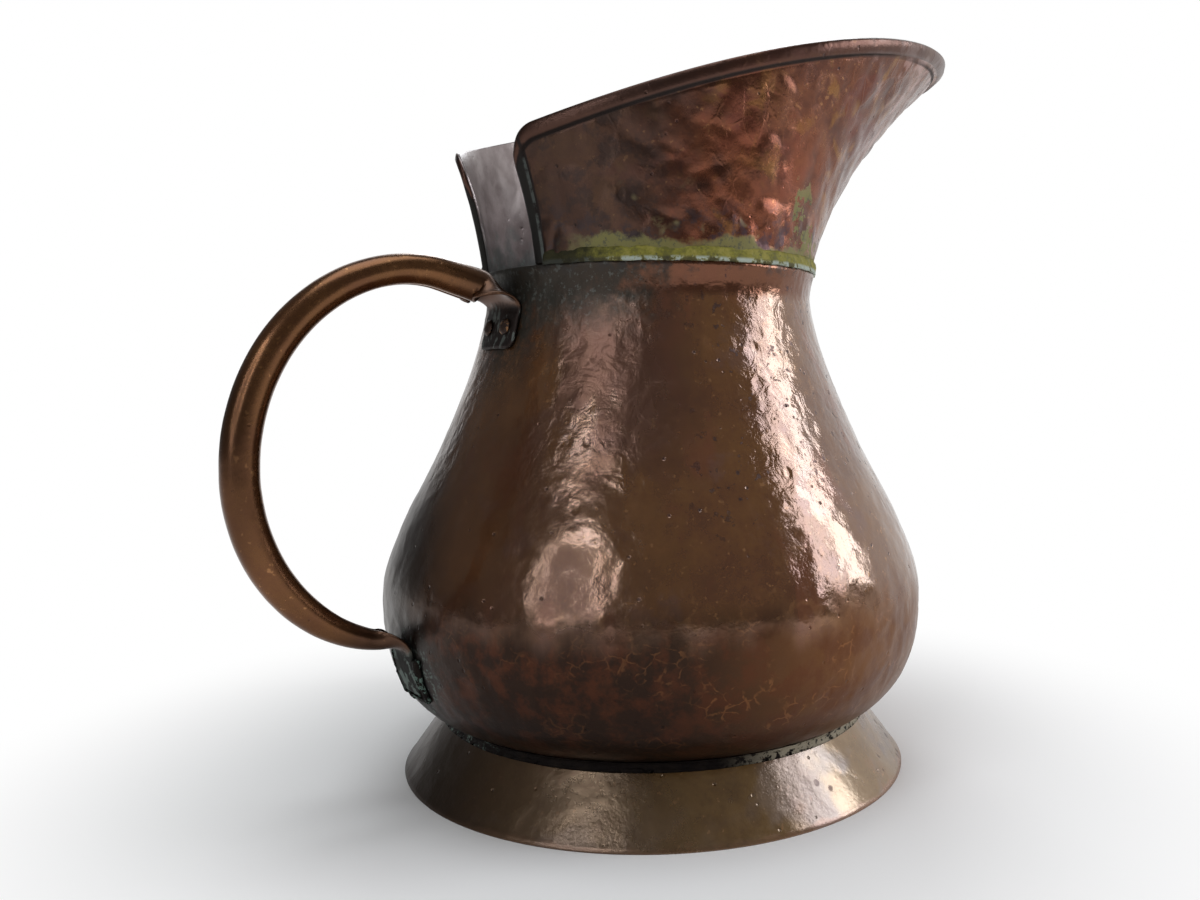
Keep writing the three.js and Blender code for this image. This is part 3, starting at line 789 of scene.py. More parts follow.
def make_collar(steps=105, open_rows=58):
    inner, gap, below = collar_grid(steps, open_rows)
    gap = gap[:, None]
    rows = inner.shape[1]
    row = np.arange(rows)[None, :]
    folded = (row >= rows - RIM_ROWS) | ((row >= LOW_ROWS + 1) & (gap < HEM))
    # Folded sheet is twice as thick, and its very edge is rounded
    edge = np.clip(between(EDGE_SHARE, 1.0, np.minimum(gap, below) / EDGE_WIDTH), EDGE_SHARE, 1.0)
    thick = SHEET * np.where(folded, 2.0 * edge, 1.0)
    outer = inner - grid_normals(inner) * thick[..., None]
    plain = ~folded & (row > LOW_ROWS + 1) & (row < rows - RIM_ROWS - 1)
    fade = np.clip(below / (1.5 * MM), 0, 1)
    to_fold = np.minimum(np.abs(below - HEM), np.abs(gap - HEM))
    return wall_mesh(
        "copper_collar", outer, inner, inside=(0, 1), hem=(folded, 0), to_fold=(to_fold, to_fold),
        below_rim=(below, below), marks=(np.where(plain, 1.0, np.where(folded, 0.2, 0.0)) * fade, 0.3 * fade))


# %% [markdown]
# The handle is one strip, flat at both ends and rolled to a tube between them, with the seam on the
# finger side. Its path is a list of stations: where the middle of the strip runs, how wide the strip
# is there and how far it is rolled. A smooth line through the stations gives the fine surface.

# %% The handle
STRIP = 1.2 * MM
HANDLE_REACH = AXIS_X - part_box("handle")[0].x
HANDLE_WIDE_HEIGHT = 122.5 * MM
ARCH_RADIUS = (65.1 + 34) * MM
ARCH_RISE = 4.1 * MM
TUBE, TUBE_ARCH, TUBE_ROOT, TUBE_TAIL = 12.6 * MM, 11 * MM, 13 * MM, 6 * MM
SLIT = 1.4 * MM
UPPER_TAB_TOP, UPPER_TAB_LENGTH, UPPER_TAB_WIDTH = NECK_HEIGHT - 13.5 * MM, 15.5 * MM, 25 * MM
LOWER_TAB_TOP, LOWER_TAB_LENGTH, LOWER_TAB_WIDTH = 57 * MM, 14 * MM, 17 * MM
UPPER_BEND = 12 * MM
TAIL_BEND = 2.6 * MM
ROOT_OPENING, TAIL_OPENING = 17 * MM, 12 * MM
TAB_CORNER = 3 * MM
BOW_STEPS = 13


def full_roll(diameter):
    return 2 * math.pi - SLIT / ((diameter - STRIP) / 2)


def tab_stations(top, length, width, round_body):
    lift = CLEARANCE + STRIP / 2
    stations = []
    for share in (0, 0.25, 0.5, 0.75, 1):
        height = top - length * share
        r, z = off_body(height, lift)
        roll = round_body * width * body_normal(height)[0] / (body_radius(height) + lift)
        stations.append([r, z, width, roll])
    return np.array(stations)


def opened(r, z, diameter, leave, arrive):
    """A station of the tube, opened towards the flat tab that is near."""
    to_leave = math.hypot(r - leave[0], z - leave[1])
    tab, opening = (leave, ROOT_OPENING) if to_leave < ROOT_OPENING else (arrive, TAIL_OPENING)
    t = min(math.hypot(r - tab[0], z - tab[1]) / opening, 1)
    share = t * t * (3 - 2 * t)
    width = full_roll(diameter) * (diameter - STRIP) / 2
    return [r, z, between(tab[2], width, share), between(tab[3], full_roll(diameter), share)]


def handle_stations():
    upper = tab_stations(UPPER_TAB_TOP, UPPER_TAB_LENGTH, UPPER_TAB_WIDTH, -1)[::-1]
    lower = tab_stations(LOWER_TAB_TOP, LOWER_TAB_LENGTH, LOWER_TAB_WIDTH, 1)
    leave, arrive = upper[-1], lower[0]
    reach = HANDLE_REACH - STRIP / 2
    top = NECK_HEIGHT + ARCH_RISE - STRIP / 2

    def arch_turn(radius):
        return math.acos((radius - ARCH_RADIUS) / (reach - ARCH_RADIUS))

    bend_top = between(HANDLE_WIDE_HEIGHT, top, math.sin(arch_turn(leave[0] + UPPER_BEND)))
    tube = [(leave[0] + UPPER_BEND * out, between(leave[1], bend_top, up), TUBE_ROOT)
            for out, up in ((0.12, 0.4), (0.36, 0.77), (0.66, 0.97))]
    start = arch_turn(tube[-1][0])
    for i in range(1, BOW_STEPS + 1):
        turn = start * (1 - i / BOW_STEPS)
        past_top = max(turn - math.pi / 2, 0) / (start - math.pi / 2)
        size = between(between(TUBE, TUBE_ARCH, math.sin(turn) ** 2), TUBE_ROOT, past_top)
        tube.append((between(ARCH_RADIUS, reach, math.cos(turn)),
                     between(HANDLE_WIDE_HEIGHT, top, math.sin(turn)), size))
    for i in range(1, BOW_STEPS + 1):
        turn = i / BOW_STEPS * math.pi / 2
        tube.append((between(arrive[0] + TAIL_BEND, reach, math.cos(turn)),
                     between(HANDLE_WIDE_HEIGHT, arrive[1] + TAIL_BEND, math.sin(turn)),
                     between(TUBE, TUBE_TAIL, (i / BOW_STEPS) ** 2.5)))
    return np.vstack([upper, [opened(*station, leave, arrive) for station in tube], lower])


def make_handle(rows=230, across=30):
    line = smooth_line(handle_stations(), rows)
    ahead = np.gradient(line[:, :2], axis=0)
    ahead /= np.linalg.norm(ahead, axis=1)[:, None]
    along = np.concatenate([[0], np.cumsum(np.linalg.norm(np.diff(line[:, :2], axis=0), axis=1))])
    to_end = np.minimum(along, along[-1] - along)
    rounding = 1 - 0.22 * np.clip(1 - to_end / TAB_CORNER, 0, 1) ** 2
    share = np.linspace(-0.5, 0.5, across)
    width, roll = line[:, 2], line[:, 3]
    bend = (roll / width)[:, None]
    bend = np.where(np.abs(bend) < 0.5, 0.5, bend)
    turn = bend * (width * rounding)[:, None] * share[None, :]
    inward = (1 - np.cos(turn)) / bend
    # The strip's path runs in the plane y = 0 on the far side of the axis from the lip
    x = -(line[:, 0:1] + ahead[:, 1:2] * inward)
    z = line[:, 1:2] - ahead[:, 0:1] * inward
    middle = np.stack([AXIS_X + x, np.sin(turn) / bend, z], -1)
    edge = np.clip((0.5 - np.abs(share)) / 0.03, 0, 1)[None, :, None]
    half = grid_normals(middle) * STRIP / 2 * between(EDGE_SHARE, 1.0, edge)
    marks = np.clip(to_end / (30 * MM), 0.25, 1)[:, None]
    print("the handle's strip:", round(along[-1] / MM), "mm long,", round(width.max() / MM, 1), "mm wide")
    return wall_mesh("copper_handle", middle + half, middle - half, marks=(marks, marks),
                     to_end=(to_end[:, None], to_end[:, None]))


# %% [markdown]
# Two rivets hold the upper tab. They are the same thing twice, so one rivet is turned on the lathe
# and a small tree sets two of them square to the neck, each turned and swollen a little differently.

# %% The rivets
RIVET_SPACING = 12.5 * MM
RIVET_SHANK, RIVET_HEAD, RIVET_DOME = 3.4 * MM, 6.4 * MM, 1.7 * MM
INNER_HEAD, INNER_DOME = 5.8 * MM, 1.0 * MM
RIVET_HEIGHT = UPPER_TAB_TOP - UPPER_TAB_LENGTH / 2


def rivet_tree():
    tree = ModifierTree("rivet_pair", radius=0.07, height=0.17, half_angle=0.09, lean=0.2, axis=0.0)
    line = tree.node("GeometryNodeMeshLine", None, {"Count": 2})
    side = tree.node("GeometryNodeInputIndex") * 2.0 - 1.0
    turn = side * tree.given("Half Angle") + math.pi
    out_x, out_y = turn.math("COSINE"), turn.math("SINE")
    radius = tree.given("Radius")
    place = tree.xyz(radius * out_x + tree.given("Axis"), radius * out_y, tree.given("Height"))
    facing = tree.xyz(out_x, out_y, tree.given("Lean"))
    aligned = tree.node("FunctionNodeAlignRotationToVector", {"axis": "Z"}, {"Vector": facing})
    size = tree.node("FunctionNodeRandomValue", {"data_type": "FLOAT"}, {"Seed": 4}, "Value")
    spread = tree.node("GeometryNodeInstanceOnPoints", None, {
        "Points": tree.moved(line, place), "Instance": tree.given("Geometry"), "Rotation": aligned,
        "Scale": size * 0.04 + 0.97})
    return tree.end(spread)


RIVET_PAIR = rivet_tree()


def rivet_line():
    """A rivet's outline: inner head, shank, outer head. Its axis is x = 0 and z = 0 is the body's face."""
    inside = -SHEET - CLEARANCE
    outside = CLEARANCE + STRIP + 0.1 * MM
    half, rim = RIVET_HEAD / 2, 0.2 * MM
    turn = np.linspace(0, math.pi / 2, 9)[1:-1]
    inner = [(0.0, inside - INNER_DOME), (INNER_HEAD * 0.3, inside - INNER_DOME),
             (INNER_HEAD / 2, inside - 0.3 * MM), (INNER_HEAD / 2, inside)]
    shank = [(RIVET_SHANK / 2, inside), (RIVET_SHANK / 2, outside), (half * 0.98, outside)]
    dome = [(half * math.cos(t), outside + between(rim, RIVET_DOME, math.sin(t))) for t in turn]
    return inner + shank, dome + [(0.0, outside + RIVET_DOME)]


def make_rivets(material):
    plain, struck = rivet_line()
    piece = line_object("rivet_heads", plain + struck, marks=[0.0] * len(plain) + [1.0] * len(struck))
    run_tree(piece, LATHE, material, columns=32, axis=0.0)
    out, up = body_normal(RIVET_HEIGHT)
    radius = float(body_radius(RIVET_HEIGHT))
    run_tree(piece, RIVET_PAIR, material, radius=radius, height=float(RIVET_HEIGHT), axis=AXIS_X,
             half_angle=RIVET_SPACING / 2 / radius, lean=float(up / out))
    return hammered(piece, material, spacing=2.6 * MM, depth=0.22 * MM, wave=0.0, seed=9)


# %% [markdown]
# Solder is the one thing here that nobody smoothed. Each seam gets a fillet of it that keeps to the
# corner between two pieces, and a tree makes it swell and shrink along the way and crusts it over.

# %% Lumpy solder
def lump_tree():
    tree = ModifierTree("solder_lumps", size=5 * MM, height=0.8 * MM, seed=1)
    size = tree.given("Size")
    apart = tree.given("Seed") * 0.21
    place = tree.vector("ADD", tree.position, tree.xyz(apart, apart))
    swell = tree.noise(place, size, 3.0, 0.5)
    grain = tree.noise(place, size * 0.2, 2.0, 0.5)
    height = ((swell - 0.5) * 2.6 + (grain - 0.5) * 0.7) * tree.given("Height") * tree.carried("marks")
    return tree.end(tree.swollen(tree.given("Geometry"), height))


SOLDER_LUMPS = lump_tree()
print("solder lumps ready:", len(SOLDER_LUMPS.nodes), "nodes")
COLLAR_SOLDER = 5 * MM
FOOT_SOLDER_DROP = 3 * MM
FOOT_SOLDER_REACH = 4 * MM
TAB_SOLDER_WIDTH = 2.6 * MM
TAB_SOLDER_HEIGHT = 1.6 * MM
SOLDER_GAP = 0.1 * MM


def lumpy(piece, material, **lumps):
    run_tree(piece, SOLDER_LUMPS, material, **lumps)
    return made_plain(piece)


def make_foot_solder(material):
    """A fillet in the corner between the foot and the bowl."""
    low = KNEE - FOOT_SOLDER_DROP / math.hypot(1, FOOT_LEAN)
    high = KNEE + FOOT_SOLDER_REACH * body_normal(KNEE + 1 * MM)[0]
    start = np.array([foot_face(low) + SOLDER_GAP, low])
    stop = np.array(off_body(high, SOLDER_GAP))
    corner = np.array([foot_face(KNEE) - 0.3 * MM, KNEE + SOLDER_GAP])
    swell = (corner - (start + stop) / 2) * 0.5
    front = [between(start, stop, s) + swell * math.sin(math.pi * s) for s in np.linspace(0, 1, 7)]
    back = [between(stop, corner, 0.5), corner, between(corner, start, 0.5), start]
    marks = [0.25] + [1.0] * 5 + [0.25] + [0.0] * 4
    piece = line_object("foot_seam", front + back, marks=marks)
    run_tree(piece, LATHE, material, columns=420, axis=AXIS_X)
    return lumpy(piece, material, size=7 * MM, height=0.9 * MM, seed=3)


def make_collar_solder(material, steps=200, rows=9):
    """A fillet on the neck's edge, from one folded side edge of the collar to the other."""
    gap, share = collar_columns(steps)
    keep = gap > HEM + FOLD / 4
    gap, share = gap[keep], share[keep]
    level = np.linspace(0, 1, rows)[None, :]
    foot = NECK_HEIGHT + SOLDER_GAP
    crest = foot + COLLAR_SOLDER
    angle = collar_angle(gap, share, np.full_like(gap, crest))[:, None]
    height = between(foot, crest, level)
    back = collar_inner(angle, np.broadcast_to(height, (len(gap), rows))) + SHEET + SOLDER_GAP
    front = between(NECK_RADIUS + 0.7 * MM, back[:, -1:] + 0.35 * MM, level ** 0.8)
    front = np.maximum(front + 0.4 * MM * np.sin(np.pi * level), back + 0.3 * MM)

    def grid(radius):
        return np.stack([AXIS_X + radius * np.cos(angle), radius * np.sin(angle), radius * 0 + height], -1)

    fade = np.ones(front.shape)
    fade[[0, -1]] = 0.2
    piece = wall_mesh("collar_seam", grid(front), grid(back), marks=(fade, 0.0))
    return lumpy(piece, material, size=6 * MM, height=0.75 * MM, seed=5)


def on_body(across, height, lift):
    """A point on the body, round it from the handle's plane, lifted off the surface."""
    turn = math.pi - across / body_radius(height)
    radius, z = off_body(height, lift)
    return (AXIS_X + radius * math.cos(turn), radius * math.sin(turn), z)


def tab_outline():
    """Points round the lower tab, as across, height and the way outwards."""
    half = LOWER_TAB_WIDTH / 2 + 0.1 * MM
    low = LOWER_TAB_TOP - LOWER_TAB_LENGTH - CLEARANCE - STRIP / 2
    corner = 1 * MM
    side = [(half, z, 1.0, 0.0) for z in np.linspace(LOWER_TAB_TOP - corner, low + corner, 16)]
    bend = [(half - corner * (1 - math.cos(t)), low + corner * (1 - math.sin(t)), math.cos(t), -math.sin(t))
            for t in np.linspace(0, math.pi / 2, 7)[1:-1]]
    under = [(q, low, 0.0, -1.0) for q in np.linspace(half - corner, 0, 12)]
    bead = side + bend + under
    return bead + [(-q, z, -dq, dz) for q, z, dq, dz in bead[-2::-1]]


def make_tab_solder(material):
    """A bead round the sides and the lower edge of the lower tab."""
    front, back = [], []
    share = np.linspace(0, 1, 6)
    width = TAB_SOLDER_WIDTH * np.cos(share * math.pi / 2)
    lift = SOLDER_GAP + TAB_SOLDER_HEIGHT * np.sin(share * math.pi / 2)
    for q, z, dq, dz in tab_outline():
        front.append([on_body(q + dq * w, z + dz * w, t) for w, t in zip(width, lift)])
        back.append([on_body(q, z, t) for t in between(0.0, lift[-1], share)])
    piece = wall_mesh("lower_tab_seam", np.array(front), np.array(back), marks=(1.0, 0.0))
    return lumpy(piece, material, size=4 * MM, height=1.0 * MM, seed=8)


# %% [markdown]
# Old copper is never one colour. Under a thin brown skin lie red, gold and nearly black patches, the
# ridges between dents are rubbed bright, and green salts gather where water stayed: along the seams
# and round the tabs. Every finish below is built from these few layers, mixed by soft noises, and
# most finishes also paint shade and highlights where light and shade fall on the jug.

# %% Colours and layers
# Each colour is given as it looks, 0 to 255
UMBER = (84, 54, 36)
RED_BROWN = (132, 74, 48)
GOLD = (196, 142, 92)
SOOT = (38, 33, 32)
PIT = (40, 28, 34)
PLUM = (58, 44, 52)
OLIVE = (128, 122, 44)
MOSS = (52, 54, 42)
TEAL = (98, 126, 116)
CHALK = (176, 186, 178)
TIN = (152, 142, 140)

# Copper darkens under a clear brown oxide that is itself glossy, which turns its highlights white
SKIN_IOR = 2.15
SOLDER_IOR = 1.45
# The way that runs to the right in the picture, along x and y
RIGHT = (0.821, -0.571)


class Finish:
    """One material: its tree, the place of a surface point, and the layers painted so far."""

    def __init__(self, name, metallic=0.4, ior=SKIN_IOR):
        self.material = bpy.data.materials.new(name)
        self.material.use_nodes = True
        self.material.node_tree.nodes.clear()
        self.tree = Tree(self.material.node_tree)
        self.place = self.tree.node("ShaderNodeTexCoord").out("Object")
        self.x = self.tree.parts(self.place)
        self.y, self.z = self.x.out("Y"), self.x.out("Z")
        self.metallic = metallic
        self.ior = ior
        self.height = None

    def attribute(self, name):
        return self.tree.node("ShaderNodeAttribute", {"attribute_name": name}, None, "Fac")

    def inside(self):
        """1 on the inner face of the sheet and 0 on the outer one."""
        return self.attribute("inside").step(0.4, 0.6)

    def squashed(self, share):
        """The place with its height made less, which draws a pattern out upwards."""
        return self.tree.vector("MULTIPLY", self.place, (1.0, 1.0, share))

    def noise(self, size, **more):
        return self.tree.noise(self.place, size, **more)

    def clouds(self, size, low, high, **more):
        """1 in soft patches and 0 between them. The size is in millimetres."""
        return self.noise(size * MM, **more).step(low, high)

    def outlines(self, size, squash):
        """1 along the outlines of random cells, the way hammer marks leave them."""
        warp = self.tree.vector("SUBTRACT", self.noise(size).out("Color"), (0.5, 0.5, 0.5))
        place = self.tree.vector("ADD", self.place, self.tree.scaled(warp, size * 0.8))
        place = self.tree.vector("MULTIPLY", place, (1.0, 1.0, squash))
        return self.tree.cells(place, size, "DISTANCE_TO_EDGE").step(0.08, 0.01)

    def rightwards(self):
        """How far a point lies to the right of the axis, as seen from the front."""
        return (self.x - AXIS_X) * RIGHT[0] + self.y * RIGHT[1]

    def backwards(self):
        """How far a point lies behind the axis, towards the handle."""
        return AXIS_X - self.x

    def near(self, point, radius):
        """1 at a point, falling to 0 at a distance."""
        apart = self.tree.vector("DISTANCE", self.place, point)
        return apart.out("Value").step(radius, 0.0)

    def layer(self, mask, color, roughness=None, metallic=None):
        """Paints a colour over what is there, where the mask is 1."""
        self.color = self.tree.mix(mask, self.color, color)
        if roughness is not None:
            self.roughness = mask * roughness + (1.0 - mask) * self.roughness
        if metallic is not None:
            self.metallic = mask * metallic + (1.0 - mask) * self.metallic

    def raise_by(self, height):
        self.height = height if self.height is None else self.height + height

    def done(self):
        bump = self.tree.node("ShaderNodeBump", None, {"Distance": 1.0, "Height": self.height})
        shader = self.tree.node("ShaderNodeBsdfPrincipled", None, {
            "Base Color": self.color, "Roughness": self.roughness, "Metallic": self.metallic,
            "IOR": self.ior, "Normal": bump})
        self.tree.node("ShaderNodeOutputMaterial", None, {"Surface": shader})
        print(self.material.name, "has", len(self.tree.nodes), "nodes")
        return self.material


def copper_skin(finish, colors, patch=38 * MM, rough=(0.08, 0.16), rubbed=0.3, nick_depth=0.13 * MM,
                pitted=0.85, bumps=1.0):
    """The mottled skin that all the copper shares: patches, clouds, rubbed ridges and pits."""
    tree = finish.tree
    broad = finish.noise(patch, distortion=0.5)
    small = finish.noise(8 * MM, detail=4.0, roughness=0.6)
    fine = finish.noise(1.6 * MM, roughness=0.7)
    finish.color = tree.ramp(colors, (broad * 0.5 + small * 0.3 + fine * 0.2).step(0.30, 0.70))
    low, high = rough
    finish.roughness = (small * 0.6 + fine * 0.4).step(0.3, 0.7) * (high - low) + low
    zone = finish.clouds(52, 0.5, 0.62, detail=1.0)
    crests = finish.attribute("ridge").step(0.72, 1.0) * small.step(0.46, 0.6) * zone
    finish.layer(crests * rubbed, GOLD, low)
    finish.layer(finish.clouds(5.5, 0.60, 0.76, detail=5.0, roughness=0.7) * 0.4, UMBER, high)
    finish.layer(finish.clouds(2.4, 0.66, 0.72, detail=2.0) * 0.35, GOLD, low)
    nick = tree.cells(finish.squashed(0.55), 8.5 * MM)
    chance = tree.parts(nick.out("Color"))
    nicks = nick.step(0.24, 0.06) * chance.step(0.60, 0.70) * (1.0 - finish.inside())
    finish.raise_by(nicks * -nick_depth)
    pits = tree.cells(finish.place, 7.5 * MM).step(0.11, 0.04)
    finish.layer(pits * pitted, PIT, 0.5, 0.9)
    etched = finish.clouds(24, 0.48, 0.60, detail=2.0)
    grain = finish.noise(3.2 * MM, detail=2.0)
    facets = tree.cells(finish.squashed(0.7), 11 * MM)
    relief = fine * etched * 0.07 + grain * 0.06 + small * 0.20 + facets * 0.22 - pits * 0.15
    finish.raise_by(relief * (bumps * MM))


def tin_lining(finish):
    """The tinned inside: dull grey with darker clouds, and green where it has worn through."""
    inside = finish.inside()
    grey = finish.tree.mix(finish.clouds(16, 0.35, 0.65, detail=4.0), (118, 106, 104), TIN)
    finish.layer(inside, grey, 0.34)
    low = inside * finish.z.torn(finish.noise(9 * MM, detail=4.0), 0.05).step(0.214, 0.196)
    finish.layer(low * 0.8, (62, 70, 66), 0.6, 0.3)
    flakes = finish.clouds(4, 0.56, 0.64, detail=4.0, roughness=0.7)
    finish.layer(low * flakes * 0.7, TEAL, 0.7, 0.0)


# %% [markdown]
# The body is umber brown and redder in streaks, with painted shade behind and on its left. Below the
# belly it is dull and mottled, and painted dark as painted shade: nearly black on the left and warmer
# brown on the right. The neck behind, under the collar's seam, is painted nearly black as painted shade
# with a few green crusts, and round both tabs of the handle the body is painted dark as painted shade,
# with green crusts round the lower one. Heights and distances in the masks are in metres.

# %% Body finish
UPPER_TAB_PLACE = (AXIS_X - 0.064, -0.004, 0.176)
LOWER_TAB_PLACE = (AXIS_X - 0.101, 0.0, 0.048)
DULL_PLACE = (AXIS_X - 0.056, -0.052, 0.150)


def body_finish():
    finish = Finish("hammered_umber_copper")
    copper_skin(finish, [(98, 58, 32), (112, 70, 36), (120, 78, 38), (130, 84, 42)])
    tree, z, right = finish.tree, finish.z, finish.rightwards()
    streaks = tree.noise(finish.squashed(0.3), 16 * MM, detail=4.0)
    finish.layer(streaks.step(0.54, 0.68) * 0.45, RED_BROWN)
    finish.layer(finish.clouds(19, 0.56, 0.68, detail=4.0, roughness=0.65) * 0.35, (112, 82, 78))
    # Painted shade: the body is painted darker behind the axis, towards the handle.
    finish.layer(finish.backwards().torn(streaks, 0.05).step(0.030, 0.090) * 0.6, (80, 50, 32), 0.24, 0.8)
    dull = finish.near(DULL_PLACE, 0.050) * 1.4 * streaks.step(0.36, 0.56)
    finish.layer(dull.clamped() * 0.75, (94, 60, 46), 0.36, 0.85)
    paint_shade_and_marks_below_belly(finish, streaks, right)
    creased = finish.noise(7 * MM, detail=4.0, distortion=1.0) * z.step(0.105, 0.125)
    finish.raise_by(creased * (0.35 * MM))
    # Painted shade: the left side of the body is painted nearly black.
    left_shade = (right * -1.0).torn(streaks, 0.02).step(0.062, 0.092)
    finish.layer(left_shade * 0.9, (42, 34, 26), 0.34, 0.95)
    ragged = finish.noise(6 * MM, detail=5.0, roughness=0.7)
    finish.layer(z.torn(ragged, 0.006).step(0.1795, 0.1840) * 0.8, (100, 56, 34), 0.22, 0.9)
    behind = finish.backwards().torn(ragged, 0.05).step(0.022, 0.050)
    # Painted shade with a few green crusts: the neck behind, under the collar's seam, is painted nearly
    # black.
    neck_shade_and_grime = behind * z.torn(ragged, 0.02).step(0.164, 0.184)
    finish.layer(neck_shade_and_grime * 0.9, (34, 33, 26), 0.5, 0.85)
    # Painted shade: round the upper tab, under the handle, the body is painted nearly black.
    upper_tab_shade = finish.near(UPPER_TAB_PLACE, 0.040) * 1.5 * ragged.step(0.3, 0.6)
    finish.layer(upper_tab_shade.clamped() * 0.85, (36, 36, 29), 0.55, 0.8)
    # Painted shade with real crusts: round the lower tab the body is painted nearly black, with pale green
    # crusts.
    lower_tab_shade_and_crust = (finish.near(LOWER_TAB_PLACE, 0.028) * 1.7 * ragged.step(0.32, 0.56)).clamped()
    finish.layer(lower_tab_shade_and_crust * 0.9, (28, 24, 23), 0.7, 0.6)
    crust = finish.clouds(2.4, 0.55, 0.62, detail=4.0, roughness=0.75)
    finish.layer(lower_tab_shade_and_crust * crust * 0.8, (96, 116, 106), 0.8, 0.0)
    finish.layer(neck_shade_and_grime * crust * 0.22, (86, 98, 92), 0.7, 0.0)
    spots = finish.clouds(4.5, 0.64, 0.68) * z.step(0.085, 0.12) * right.step(0.0, 0.03)
    finish.layer(spots * 0.7, (44, 34, 44), 0.5, 0.9)
    seam = z.torn(ragged, 0.008).step(0.188, 0.1925) * ragged.step(0.50, 0.60)
    finish.layer(seam * 0.6, SOOT, 0.55, 0.8)
    tin_lining(finish)
    return finish.done()


def paint_shade_and_marks_below_belly(finish, streaks, right):
    """The dull lower bowl, painted dark as painted shade, with the worn outlines of hammer marks along its
    widest part.
    """
    # Painted shade: the bowl below the belly is painted dark, nearly black on the left and warmer brown on
    # the right.
    under = finish.z.torn(streaks, 0.024).step(0.084, 0.064)
    reddish = finish.clouds(11, 0.42, 0.62, detail=4.0, roughness=0.65)
    below = finish.tree.mix(right.step(0.0, 0.080), (34, 20, 13), (112, 72, 40))
    finish.layer(under * 0.95, finish.tree.mix(reddish * 0.5, below, (84, 42, 22)), 0.40, 0.95)
    worn = finish.clouds(14, 0.46, 0.62) * finish.z.step(0.092, 0.074) * finish.z.step(0.026, 0.040)
    lines = finish.outlines(6 * MM, 1.3) * finish.clouds(3, 0.40, 0.54)
    finish.layer(lines * worn * (right.step(-0.04, 0.06) * 0.36 + 0.12), (146, 96, 58), 0.24)


body_copper = body_finish()

# %% [markdown]
# The foot is smoother and more olive than the body, with painted shade behind and on its left, and on its
# right a painted sheen in cold grey patches, and dark spots.

# %% Foot finish
def foot_finish():
    finish = Finish("olive_copper")
    colors = [(104, 74, 38), (120, 88, 44), (128, 96, 50), (134, 92, 52)]
    copper_skin(finish, colors, rough=(0.17, 0.26), rubbed=0.15, nick_depth=0.0, pitted=0.3)
    clouds = finish.noise(20 * MM)
    # Painted shade: the foot is painted darker behind the axis.
    finish.layer(finish.backwards().torn(clouds, 0.05).step(0.020, 0.075) * 0.65, (66, 46, 32), 0.32, 0.85)
    right = finish.rightwards().step(0.02, 0.07)
    # Painted sheen: cold grey-lilac patches are painted on the right.
    finish.layer(finish.clouds(26, 0.46, 0.62) * (right * 0.5 + 0.15), (112, 98, 98), 0.34)
    spots = finish.tree.cells(finish.place, 6 * MM).step(0.26, 0.18) * clouds.step(0.46, 0.54)
    finish.layer(spots * (right * 0.6 + 0.1), PLUM, 0.5, 0.9)
    edge = finish.z.torn(finish.noise(5 * MM, detail=4.0), 0.004).step(0.0022, 0.0008)
    finish.layer(edge * (right * 0.5 + 0.2), (150, 108, 84), 0.3)
    # Painted shade: the left side of the foot is painted nearly black.
    left_shade = (finish.rightwards() * -1.0).step(0.035, 0.085)
    finish.layer(left_shade * 0.85, (44, 32, 22), 0.36, 0.95)
    return finish.done()


foot_copper = foot_finish()

# %% [markdown]
# The collar is the reddest piece, with deep hammer marks whose outlines carry painted highlights. Its
# folded rim and sides are darker, a black line of painted shade runs where the fold ends, and green
# salts creep up from the brazed seam at its foot. Its right side carries painted sheen in gold and
# lilac, and its left side and back are painted darker as painted shade.

